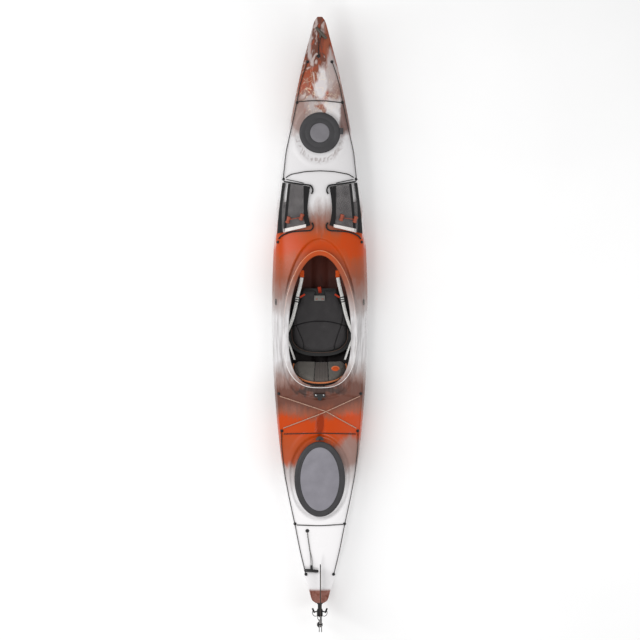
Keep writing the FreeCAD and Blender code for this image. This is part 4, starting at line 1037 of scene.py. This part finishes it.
def make_bow_lid(materials):
    """Soft ring with moulded steps round a stiff textured disc."""
    centre = Vector((0, BOW_HATCH_AT, 0.335))
    ring = [(0.0645, 0.0), (0.0645, 0.0072), (0.066, 0.0082), (0.070, 0.0085), (0.092, 0.0088),
            (0.094, 0.0078),
            (0.097, 0.0078), (0.099, 0.0088), (0.120, 0.0080), (0.127, 0.0062), (0.131, 0.0026),
            (0.133, -0.002), (0.1325, -0.009), (0.126, -0.009), (0.124, -0.001)]
    seal = new_piece("bow_hatch_ring", *lathe(ring, centre), [materials["rubber"]], "bow_hatch",
                     "lid_rubber")
    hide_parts("bow_hatch_seal")
    tab = rounded_box((0.024, 0.042, 0.005), centre + Vector((0.1405, 0.010, 0.0045)), Matrix.Identity(3),
                      0.0022)
    new_piece("bow_hatch_tab", *tab, [materials["rubber"]], "bow_hatch", "lid_rubber")
    disc = [(0.0, 0.0112), (0.02, 0.0111), (0.04, 0.0106), (0.056, 0.0098), (0.0605, 0.0088),
            (0.0635, 0.0070), (0.0638, 0.0)]
    panel = new_piece("bow_hatch_disc", *lathe(disc, centre), [materials["bow_panel"]], "bow_hatch",
                      "lid_plastic")
    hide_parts("bow_hatch_panel")


def oval_rows(profile, centre, wide, long, count=160):
    """An oval shape from (inset from the edge, height) pairs."""
    rows = []
    for number in range(count):
        a = 2 * math.pi * number / count
        rows.append([Vector((centre.x + (wide - inset) * math.cos(a),
                             centre.y + (long - inset) * math.sin(a),
                             centre.z + high)) for inset, high in profile])
    points = [point for row in rows for point in row]
    return points, grid_faces(count, len(profile), wrap_rows=True)


def make_stern_lid(materials):
    """The oval cover: a soft ring with a tab, and a stiff dome."""
    centre = Vector((0, STERN_HATCH_AT, 0.288))
    wide, long = 0.165, 0.245
    ring = [(0.0375, 0.0), (0.0375, 0.0075), (0.035, 0.0088), (0.030, 0.0088), (0.028, 0.0078),
            (0.026, 0.0078),
            (0.024, 0.0088), (0.012, 0.0082), (0.006, 0.0064), (0.002, 0.0028), (0.0, -0.002),
            (0.0005, -0.009), (0.008, -0.009), (0.009, -0.001)]
    seal = new_piece("stern_hatch_ring", *oval_rows(ring, centre, wide, long), [materials["rubber"]],
                     "stern_hatch", "lid_rubber")
    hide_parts("stern_hatch_seal")
    profile = [(-0.030, 0.002), (-0.030, 0.006), (-0.002, 0.007), (0.0, 0.0055), (0.0, 0.002)]
    rows = [[centre + Vector(((0.027 + away) * math.cos(a), long + 0.007 + (0.027 + away) * math.sin(a),
                              high))
             for away, high in profile] for a in spaced(0, math.pi, 32)]
    tab = ([point for row in rows for point in row], grid_faces(len(rows), len(profile), wrap_columns=True))
    new_piece("stern_hatch_tab", *tab, [materials["rubber"]], "stern_hatch", "lid_rubber")
    around = [2 * math.pi * number / 160 for number in range(160)]
    dome = [(0.0382, 0.0), (0.0382, 0.0075), (0.0395, 0.0090)]
    flat_x, flat_y = wide - 0.0395, long - 0.0395
    rows = [[centre + Vector(((wide - inset) * math.cos(a), (long - inset) * math.sin(a),
                              high)) for a in around]
            for inset, high in dome]
    for scale in spaced(1, 0.04, 26)[1:]:
        high = 0.0090 + 0.0060 * math.sin(math.pi / 2 * min(1, (1 - scale) * 1.3))
        rows.append([centre + Vector((flat_x * scale * math.cos(a), flat_y * scale * math.sin(a),
                                      high)) for a in around])
    points = [point for row in rows for point in row]
    faces = grid_faces(len(rows), len(around), wrap_columns=True)
    faces.append(tuple(range(len(points) - len(around), len(points))))
    for point in points:
        ripple = noise.noise(Vector((point.x * 9, point.y * 9, 0.4)))
        inside = smooth_step(point.z, centre.z + 0.0095, centre.z + 0.013)
        point.z += 0.0012 * ripple * inside
    panel = new_piece("stern_hatch_dome", points, faces, [materials["panel"]], "stern_hatch", "lid_plastic")
    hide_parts("stern_hatch_panel")


# ---------------------------------------------------------------- deck pockets

# Five places along each pocket, from its bow end to its mouth: its two edges in plan.
POCKET_INNER = [(0.062, 0.893), (0.072, 0.825), (0.078, 0.755), (0.072, 0.690), (0.060, 0.642)]
POCKET_OUTER = [(0.233, 0.921), (0.243, 0.841), (0.253, 0.750), (0.262, 0.658), (0.266, 0.590)]
# The strips between them, as shares of the way from the inner edge to the outer one at the same places.
INNER_BAND = [(0.00, 0.24), (0.00, 0.18), (0.00, 0.14), (0.00, 0.15), (0.00, 0.15)]
NET = [(0.24, 0.71), (0.18, 0.70), (0.14, 0.69), (0.15, 0.71), (0.15, 0.73)]
MIDDLE_BAND = [(0.71, 0.80), (0.70, 0.79), (0.69, 0.78), (0.71, 0.79), (0.73, 0.81)]
SIDE_NET = [(0.80, 0.90), (0.79, 0.91), (0.78, 0.90), (0.79, 0.87), (0.81, 0.84)]
OUTER_BAND = [(0.90, 1.00), (0.91, 1.00), (0.90, 1.00), (0.87, 1.00), (0.84, 1.00)]
HEM = [((0.088, 0.649), (0.226, 0.620)), ((0.088, 0.629), (0.226, 0.596))]
POCKET_CORDS = [
    ([(0.054, 0.846), (0.045, 0.866), (0.050, 0.888), (0.066, 0.903), (0.130, 0.911), (0.190, 0.921),
      (0.227, 0.928)],
     0.009, 0.0048),
    ([(0.051, 0.660), (0.043, 0.642), (0.047, 0.622), (0.066, 0.609), (0.110, 0.606), (0.160, 0.603),
      (0.205, 0.594), (0.245, 0.575), (0.262, 0.556)], 0.007, 0.0048),
    ([(0.104, 0.917), (0.151, 0.928), (0.214, 0.942)], 0.007, 0.0025),
]
TOGGLES = {-1: ((0.114, 0.695), (0.194, 0.677)), 1: ((0.136, 0.691), (0.217, 0.680))}
NET_LIFT = 0.0145


def strip_ends(shares, astern_of=2.0):
    """The two ends in plan of each row of a pocket strip, from the bow end astern."""
    inner = smoothed([(x, y, 0) for x, y in POCKET_INNER], 10)
    outer = smoothed([(x, y, 0) for x, y in POCKET_OUTER], 10)
    limits = smoothed([(low, high, 0) for low, high in shares], 10)
    ends = [(a.lerp(b, limit.x), a.lerp(b, limit.y)) for a, b, limit in zip(inner, outer, limits)]
    return [(near, far) for near, far in ends if far.y < astern_of]


def pocket_strip(sign, ends, lift, thick, columns=12):
    """A thin sheet over the deck between two lines, bellied a little towards the pocket's mouth."""
    top, low = [], []
    for near, far in ends:
        for across in spaced(0, 1, columns):
            spot = near.lerp(far, across)
            belly = 0.004 * math.sin(math.pi * across) * smooth_step(spot.y, 0.80, 0.66)
            place = Vector((sign * spot.x, spot.y, bare_deck(spot.x, spot.y)))
            up = deck_up(place)
            top.append(place + up * (lift + belly + thick))
            low.append(place + up * (lift + belly))
    rows, count = len(ends), columns + 1
    faces = grid_faces(rows, count)
    points, faces = joined([(top, faces), (low, [face[::-1] for face in faces])])
    edge = list(range(count)) + [row * count + columns for row in range(1, rows)]
    edge += [(rows - 1) * count + n for n in range(columns - 1, -1, -1)]
    edge += [row * count for row in range(rows - 2, 0, -1)]
    shift = len(top)
    for a, b in zip(edge, edge[1:] + edge[:1]):
        faces.append((a, b, b + shift, a + shift))
    return points, faces


def make_pocket(side, sign, materials):
    """The mesh of one deck pocket, wide net and narrow side net."""
    net = pocket_strip(sign, strip_ends(NET), NET_LIFT, 0.0008)
    side_net = pocket_strip(sign, strip_ends(SIDE_NET, 0.80), NET_LIFT, 0.0008, 4)
    piece = new_piece(f"pocket_net_{side}", *joined([net, side_net]), [materials["mesh"]], "hull", "mesh")
    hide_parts(f"pocket_mesh_{side}")


def make_pocket_trim(materials):
    """The black bands and pale hems of both pockets."""
    bands, hems = [], []
    hem_ends = [(Vector((*HEM[0][0], 0)).lerp(Vector((*HEM[1][0], 0)), part),
                 Vector((*HEM[0][1], 0)).lerp(Vector((*HEM[1][1], 0)), part)) for part in spaced(0, 1, 5)]
    for sign in (-1, 1):
        for shares in (INNER_BAND, MIDDLE_BAND, OUTER_BAND):
            bands.append(pocket_strip(sign, strip_ends(shares), 0.0115, 0.004, 4))
        hems.append(pocket_strip(sign, hem_ends, 0.0165, 0.0018))
    webbing = new_piece("pocket_webbing", *joined(bands), [materials["black_web"]], "hull", "black_webbing")
    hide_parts("pocket_bands")
    hem = new_piece("pocket_hem_strips", *joined(hems), [materials["hem"]], "hull", "white_webbing")
    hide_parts("pocket_hems")


def make_pocket_cords(materials):
    """The elastic cords at the ends of both pockets."""
    parts = [tube(laid([(sign * x, y) for x, y in plan], lift), radius, up_at=deck_up)
             for sign in (-1, 1) for plan, lift, radius in POCKET_CORDS]
    cords = new_piece("pocket_shock_cords", *joined(parts), [materials["black_web"]], "hull", "rope")
    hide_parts("pocket_bungees")


def make_toggles(materials):
    """Moulded toggles on the mesh, waisted in the middle, each pair on a short elastic."""
    steps = spaced(-1, 1, 12)
    widths = [0.0205 * (0.52 + 0.48 * step * step) * math.sqrt(max(1 - step ** 6, 0.05)) for step in steps]
    parts = []
    for sign, places in TOGGLES.items():
        ends = []
        for x, y in places:
            ends.append(Vector((sign * x, y, bare_deck(x, y))) + deck_up(Vector((sign * x, y, 0))) * 0.027)
            path = [ends[-1] + Vector((0.007, 0.022, 0)) * step for step in steps]
            parts.append(swept(path, lambda number: circle(widths[number], 12)))
        parts.append(tube(smoothed(ends, 8), 0.0025))
    piece = new_piece("pocket_toggle_set", *joined(parts), [materials["toggle"]], "hull", "orange_plastic")
    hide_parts("pocket_toggles")


# ---------------------------------------------------------------- seat


def swell(piece, travel, voxel=0.005, pressure=4.0):
    """Remeshes a closed form and inflates it as cloth, moving no point further than travel."""
    remesh = piece.modifiers.new("remesh", "REMESH")
    remesh.mode, remesh.voxel_size = "VOXEL", voxel
    apply_modifiers(piece)
    before = [vertex.co.copy() for vertex in piece.data.vertices]
    cloth_on = piece.modifiers.new("cloth", "CLOTH")
    cloth_on.settings.use_pressure = True
    cloth_on.settings.uniform_pressure_force = pressure
    cloth_on.settings.effector_weights.gravity = 0
    scene = bpy.context.scene
    for number in range(1, 21):
        scene.frame_set(number)
    apply_modifiers(piece)
    scene.frame_set(1)
    for vertex, start in zip(piece.data.vertices, before):
        move = vertex.co - start
        if move.length > travel:
            vertex.co = start + move * (travel / move.length)


def apply_modifiers(piece):
    """Replaces a mesh by its modified self."""
    depsgraph = bpy.context.evaluated_depsgraph_get()
    mesh = bpy.data.meshes.new_from_object(piece.evaluated_get(depsgraph))
    piece.modifiers.clear()
    old, name = piece.data, piece.data.name
    piece.data = mesh
    bpy.data.meshes.remove(old)
    mesh.name = name


def subdivided(piece, levels=1):
    """Smooths a piece by dividing its faces."""
    modifier = piece.modifiers.new("subdivision", "SUBSURF")
    modifier.levels = modifier.render_levels = levels
    apply_modifiers(piece)


def loose_mesh(name, points, faces):
    """A mesh object that rides on nothing yet."""
    mesh = bpy.data.meshes.new(name)
    mesh.from_pydata([tuple(point) for point in points], [], faces)
    mesh.validate()
    piece = bpy.data.objects.new(name, mesh)
    bpy.context.scene.collection.objects.link(piece)
    return piece


def seat_outline():
    """The seat pad's outline in plan, with the notch at its front."""
    right = [(0.040, 0.190), (0.040, 0.232), (0.104, 0.232), (0.114, 0.231), (0.120, 0.222), (0.134, 0.160),
             (0.172, 0.090), (0.181, 0.045), (0.186, 0.0), (0.186, -0.03)]
    for degrees in (0, 10, 20, 30, 40, 50, 60, 70, 80):
        angle = math.radians(degrees)
        right.append((0.186 * math.cos(angle) ** 0.8,
                      -0.060 - 0.125 * math.sin(angle) ** 0.8 if degrees else -0.060))
    return right + [(0.0, -0.185)] + [(-x, y) for x, y in right[::-1]]


def pad_of(outline, layers, place):
    """A closed form from scaled copies of an outline; layers are (inset share, height)."""
    centre = Vector((0, sum(y for _, y in outline) / len(outline), 0))
    points = []
    for shrink, high in layers:
        for x, y in outline:
            way = Vector((x, y, 0)) - centre
            spot = centre + way * (1 - shrink / max(way.length, 0.01))
            points.append(place(spot.x, spot.y, high))
    count = len(outline)
    faces = grid_faces(len(layers), count, wrap_columns=True)
    faces.append(tuple(range(count))[::-1])
    faces.append(tuple((len(layers) - 1) * count + n for n in range(count)))
    return points, faces


def groove(distance, width, depth):
    """Depth of a sewn channel at a distance from its line."""
    return depth * math.exp(-(distance / width) ** 2)


def seat_seams(x, y):
    """How far the seat's seams pull its top down."""
    arc = 0.022 - 1.1 * x * x
    down = groove(y - arc, 0.0045, 0.006)
    left = -0.163 + 0.058 * smooth_step(y, 0.04, -0.15) if y < 0.04 else None
    if left is not None and y < arc:
        down += groove(x - left, 0.0045, 0.005)
    if -0.20 < y < 0.07:
        right = 0.154 - 0.058 * smooth_step(y, 0.07, -0.17)
        down += groove(x - right, 0.0045, 0.005)
    return down


def make_seat_pad(materials):
    """The seat's padded cushion, one cover over the seat and its hinged front."""
    low, high = 0.0545, 0.0905
    rise = [(0.010, low), (0.003, low + 0.006), (0.003, high - 0.010), (0.011, high)]
    points, faces = pad_of(seat_outline(), rise,
                           lambda x, y, z: Vector((x, y, z)))
    piece = loose_mesh("seat_pad", points, faces)
    swell(piece, 0.008)
    subdivided(piece)
    for vertex in piece.data.vertices:
        co = vertex.co
        top = smooth_step(co.z, low + 0.018, high - 0.004)
        rear_rise = 0.006 * smooth_step(co.y, -0.02, -0.16)
        thigh_rise = 0.005 * smooth_step(abs(co.x), 0.06, 0.15)
        co.z += top * (rear_rise + thigh_rise - seat_seams(co.x, co.y))
        co.z = max(co.z, 0.0543)
    piece.data.shade_smooth()
    piece.data.materials.append(materials["seat"])
    piece.data.materials.append(materials["seam"])
    # Faces along the seams take the near-black, painted shade in the sewn grooves.
    for polygon in piece.data.polygons:
        if seat_seams(polygon.center.x, polygon.center.y) > 0.0035 and polygon.center.z > 0.075:
            polygon.material_index = 1
    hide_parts("seat_cushion", "leg_lift_cushion")
    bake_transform(piece)


def make_seat_trim(materials):
    """Dark red piping round the seat's rear edge, and the pull tab in its notch."""
    rear = [(x, y) for x, y in seat_outline() if y < -0.02]
    path = smoothed([(x * 0.985, y * 0.99 - 0.001, 0.0935 + 0.004 * smooth_step(y, -0.05, -0.16)) for x,
                     y in rear], 6)
    new_piece("seat_piping", *tube(path, 0.0022), [materials["brown_trim"]], "hull", "seat_fabric")
    pull = smoothed([(0.002, 0.206, 0.057), (0.0, 0.226, 0.071), (-0.003, 0.240, 0.078),
                     (-0.004, 0.246, 0.076)], 8)
    tab = new_piece("leg_lift_tab", *band(pull, 0.022, 0.003), [materials["red_web"]], "leg_lift",
                    "orange_webbing")
    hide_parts("leg_lift_pull")
    patch = smoothed([(-0.002, 0.189, 0.094), (-0.002, 0.174, 0.0965), (-0.002, 0.155, 0.0965)], 6)
    new_piece("leg_lift_loop", *band(patch, 0.070, 0.003), [materials["grey_web"]], "leg_lift",
              "seat_fabric")
    stitches = [band([Vector((x, 0.168, 0.0982)), Vector((x + 0.012, 0.166, 0.0982))], 0.005, 0.0012)
                for x in (-0.026, 0.012)]
    new_piece("leg_lift_stitches", *joined(stitches), [materials["red_web"]], "leg_lift", "orange_webbing")


BACK_LEAN = math.radians(132.1)


def back_place(across, up, out):
    """A place on the backrest: across it, up its slope and out of its front face."""
    along = Vector((0, math.cos(BACK_LEAN), math.sin(BACK_LEAN)))
    front = Vector((0, math.sin(BACK_LEAN), -math.cos(BACK_LEAN)))
    return Vector((across, -0.250, 0.112)) + along * up + front * out


def back_outline(shrink):
    """Half of the backrest's outline and its mirror image, drawn in from the edge."""
    half, tall = 0.178 - shrink, 0.215 - shrink
    right = [(0.080, shrink), (0.150 - shrink, shrink), (0.160 - shrink, shrink + 0.008),
             (0.173 - shrink, 0.030)]
    right += [(half * math.cos(math.radians(a)), 0.062 + (tall - 0.062) * math.sin(math.radians(a)) ** 0.85)
              for a in (0, 12, 24, 36, 48, 60, 72, 82)]
    return right + [(0, tall)] + [(-x, y) for x, y in right[::-1]]


def make_back_pad(materials):
    """The padded backrest, with two seams and ribs between them."""
    points, faces = pad_of(back_outline(0.004),
                           [(0.008, 0.002), (0.001, 0.007), (0.002, 0.018), (0.012, 0.025)], back_place)
    piece = loose_mesh("back_pad", points, faces)
    swell(piece, 0.007)
    subdivided(piece)
    origin = back_place(0, 0, 0)
    along = back_place(0, 1, 0) - origin
    front = back_place(0, 0, 1) - origin
    for vertex in piece.data.vertices:
        up, out = (vertex.co - origin).dot(along), (vertex.co - origin).dot(front)
        face = smooth_step(out, 0.012, 0.022)
        x = vertex.co.x
        flare = 0.010 * up / 0.215
        down = groove(x + 0.028 + flare, 0.004, 0.005) + groove(x - 0.050 - flare, 0.004, 0.005)
        if -0.024 - flare < x < 0.046 + flare:
            down += 0.0016 * (1 - math.cos((x - 0.011) * 2 * math.pi / 0.018))
        vertex.co -= front * down * face
        vertex.co += front * 0.004 * face * smooth_step(up, 0.05, 0.16)
    for polygon in piece.data.polygons:
        x = polygon.center.x
        up = (polygon.center - origin).dot(along)
        flare = 0.010 * up / 0.215
        in_seam = min(abs(x + 0.028 + flare), abs(x - 0.050 - flare)) < 0.0018
        in_rib = -0.028 - flare < x < 0.050 + flare
        # Faces along the two seams take the near-black, painted shade in the sewn grooves.
        if in_seam:
            polygon.material_index = 2
        elif in_rib:
            polygon.material_index = 1
        else:
            polygon.material_index = 0
    piece.data.shade_smooth()
    piece.data.materials.append(materials["back"])
    piece.data.materials.append(materials["back_rib"])
    piece.data.materials.append(materials["seam"])
    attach(piece, "backrest")
    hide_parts("backrest_pad")


def make_back_trim(materials):
    """Piping round the backrest's curve, and its plain oval badge."""
    origin = back_place(0, 0, 0)
    front = back_place(0, 0, 1) - origin
    rim = [(x, y) for x, y in back_outline(0.002) if y > 0.02]
    path = smoothed([back_place(x, y, 0.017) for x, y in rim], 6)
    new_piece("back_piping", *tube(path, 0.0058, up_at=lambda point: front), [materials["orange_trim"]],
              "backrest", "orange_webbing")
    binding = smoothed([back_place(x * 1.0, y * 1.0, 0.006) for x, y in back_outline(-0.001) if y > 0.02],
                       6)
    new_piece("back_binding", *tube(binding, 0.0055, up_at=lambda point: front), [materials["black_web"]],
              "backrest", "black_webbing")
    layers = ((0.0, 0.0295, 0.0258, "pale_badge"), (0.0012, 0.0225, 0.0175, "orange"))
    for number, (lift, wide, tall, material) in enumerate(layers):
        centre = 0.0325 + lift
        rows = []
        for step in spaced(0, 1, 6):
            scale = math.sin(math.pi / 2 * step)
            rise = centre + 0.0022 * math.cos(math.pi / 2 * step) - (0.004 if step == 1 else 0)
            rows.append([back_place(0.102 + wide * scale * math.cos(a),
                                    0.098 + tall * 1.3 * scale * math.sin(a), rise)
                         for a in [2 * math.pi * n / 40 for n in range(40)]])
        points = [point for row in rows for point in row]
        badge = new_piece(f"back_badge_{number}", points, grid_faces(len(rows), 40, wrap_columns=True),
                          [materials[material]], "backrest", "orange_plastic")
        if number == 0:
            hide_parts("backrest_badge")


# ---------------------------------------------------------------- seat straps

STRAP_TAB = [(0.117, 0.353, 0.2045), (0.1173, 0.308, 0.189)]
STRAP_TAIL = [(0.1175, 0.306, 0.1876), (0.122, 0.280, 0.177), (0.131, 0.240, 0.158), (0.141, 0.203, 0.138),
              (0.146, 0.182, 0.129), (0.148, 0.166, 0.1262)]
STRAP_MAIN = [(0.149, 0.160, 0.1262), (0.152, 0.144, 0.127), (0.172, 0.062, 0.129),
              (0.196, -0.015, 0.132), (0.211, -0.060, 0.136),
              (0.210, -0.098, 0.140), (0.194, -0.142, 0.144), (0.178, -0.188, 0.148),
              (0.164, -0.230, 0.151)]
BUCKLE = Vector((0.1485, 0.163, 0.1255))


def ladder_buckle(sign):
    """A frame with three bars that the webbing threads through."""
    turn = Matrix.Rotation(math.radians(sign * 12), 3, "Z")
    centre = Vector((sign * BUCKLE.x, BUCKLE.y, BUCKLE.z))
    parts = []
    for side in (-1, 1):
        parts.append(rounded_box((0.004, 0.034, 0.007), centre + turn @ Vector((side * 0.0165, 0, 0)),
                                 turn, 0.0012))
    for along, tall in ((-0.015, 0.004), (0.001, 0.0), (0.015, 0.004)):
        parts.append(rounded_box((0.035, 0.0070, 0.006), centre + turn @ Vector((0, along, tall)), turn,
                                 0.0018))
    return parts


def strap_up(point):
    """The straps lie flat at the buckles and turn on edge on their way to the backrest."""
    lean = math.radians(58) * smooth_step(point.y, 0.06, -0.05)
    return Vector((-math.copysign(math.sin(lean), point.x), 0, math.cos(lean)))


def make_straps(materials):
    """The webbing tails, main straps, tabs and buckles on both sides."""
    for side, sign in (("left", -1), ("right", 1)):
        for label, route in (("tail", STRAP_TAIL), ("main", STRAP_MAIN)):
            path = smoothed([(sign * x, y, z + 0.0012) for x, y, z in route], 8)
            piece = loose_mesh(f"webbing_{label}_{side}", *band(path, 0.022, 0.0024, strap_up))
            piece.data.materials.append(materials["white_web"])
            piece.data.shade_smooth()
            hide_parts(f"strap_{label}_{side}")
            if label == "main":
                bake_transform(piece)
            else:
                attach(piece, "hull")
    tabs = [band(smoothed([(sign * x, y, z) for x, y, z in STRAP_TAB], 8), 0.030, 0.005) for sign in (-1,
                                                                                                      1)]
    piece = new_piece("webbing_tabs", *joined(tabs), [materials["orange_web"]], "hull", "orange_webbing")
    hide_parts("strap_tabs")
    piece = new_piece("ladder_buckles", *joined(ladder_buckle(-1) + ladder_buckle(1)), [materials["black"]],
                      "hull", "black_plastic")
    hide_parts("strap_buckles")
    loops = [band(smoothed([(sign * 0.132, 0.176, 0.1265), (sign * 0.116, 0.186, 0.1275),
                            (sign * 0.098, 0.198, 0.121)], 6),
                  0.012, 0.002) for sign in (-1, 1)]
    new_piece("buckle_loops", *joined(loops), [materials["red_web"]], "hull", "orange_webbing")


# ---------------------------------------------------------------- CAD nodes that stay

FINISH = {
    "black": ["bow_pad_eyes", "side_pad_eyes", "stern_pad_eyes", "bow_handle_eye", "stern_handle_eye",
              "stern_handle_grip", "backrest_shell", "rear_anchor", "foot_pedal_left", "foot_pedal_right"],
    # The seat's rails and pans take the darker black: painted shade under the cushion.
    "dark": ["seat_rails", "seat_pan", "leg_lift_pan"],
    # The bow grip's lighter grey is partly its own colour and partly a painted highlight.
    "grip": ["bow_handle_grip"],
    "rope": ["bow_deck_line_left", "bow_deck_line_right", "stern_deck_line_left", "stern_deck_line_right",
             "bow_bungees",
             "rear_bungee"],
    "tan_bungee": ["stern_bungees"],
    "grey_rope": ["side_loops"],
    "foam": ["bow_bulkhead", "stern_bulkhead"],
    "steel": ["anchor_screws"],
    "rail": ["foot_rail_left", "foot_rail_right"],
    "coat": ["rudder_bracket", "rudder_head", "rudder_pin", "rudder_pivot_bolt", "rudder_wire_loops"],
    "blade": ["rudder_blade"],
}


def finish_nodes(materials):
    """Gives the CAD nodes that stay in view their materials."""
    for finish, names in FINISH.items():
        for name in names:
            for slot in nodes[name].material_slots:
                slot.material = materials[finish]


# ---------------------------------------------------------------- the scene


def make_all():
    """Makes the camera and the cords first, then everything else."""
    make_camera()
    materials = make_materials()
    make_handle_cord("bow_cord", BOW_CORD, "bow_handle_cord", "bow_handle", materials["rope"], 3,
                     parting=0.62, gap=0.009)
    make_handle_cord("stern_cord", STERN_CORD, "stern_handle_cord", "stern_handle",
                     materials["grey_rope"], 5, parting=0.60, gap=0.009)
    make_staging()
    make_deck(materials)
    make_hull(materials)
    make_coaming(materials)
    make_rims(materials)
    make_bow_lid(materials)
    make_stern_lid(materials)
    make_pocket("left", -1, materials)
    make_pocket("right", 1, materials)
    make_pocket_trim(materials)
    make_pocket_cords(materials)
    make_toggles(materials)
    make_seat_pad(materials)
    make_seat_trim(materials)
    make_back_pad(materials)
    make_back_trim(materials)
    make_straps(materials)
    finish_nodes(materials)


make_all()
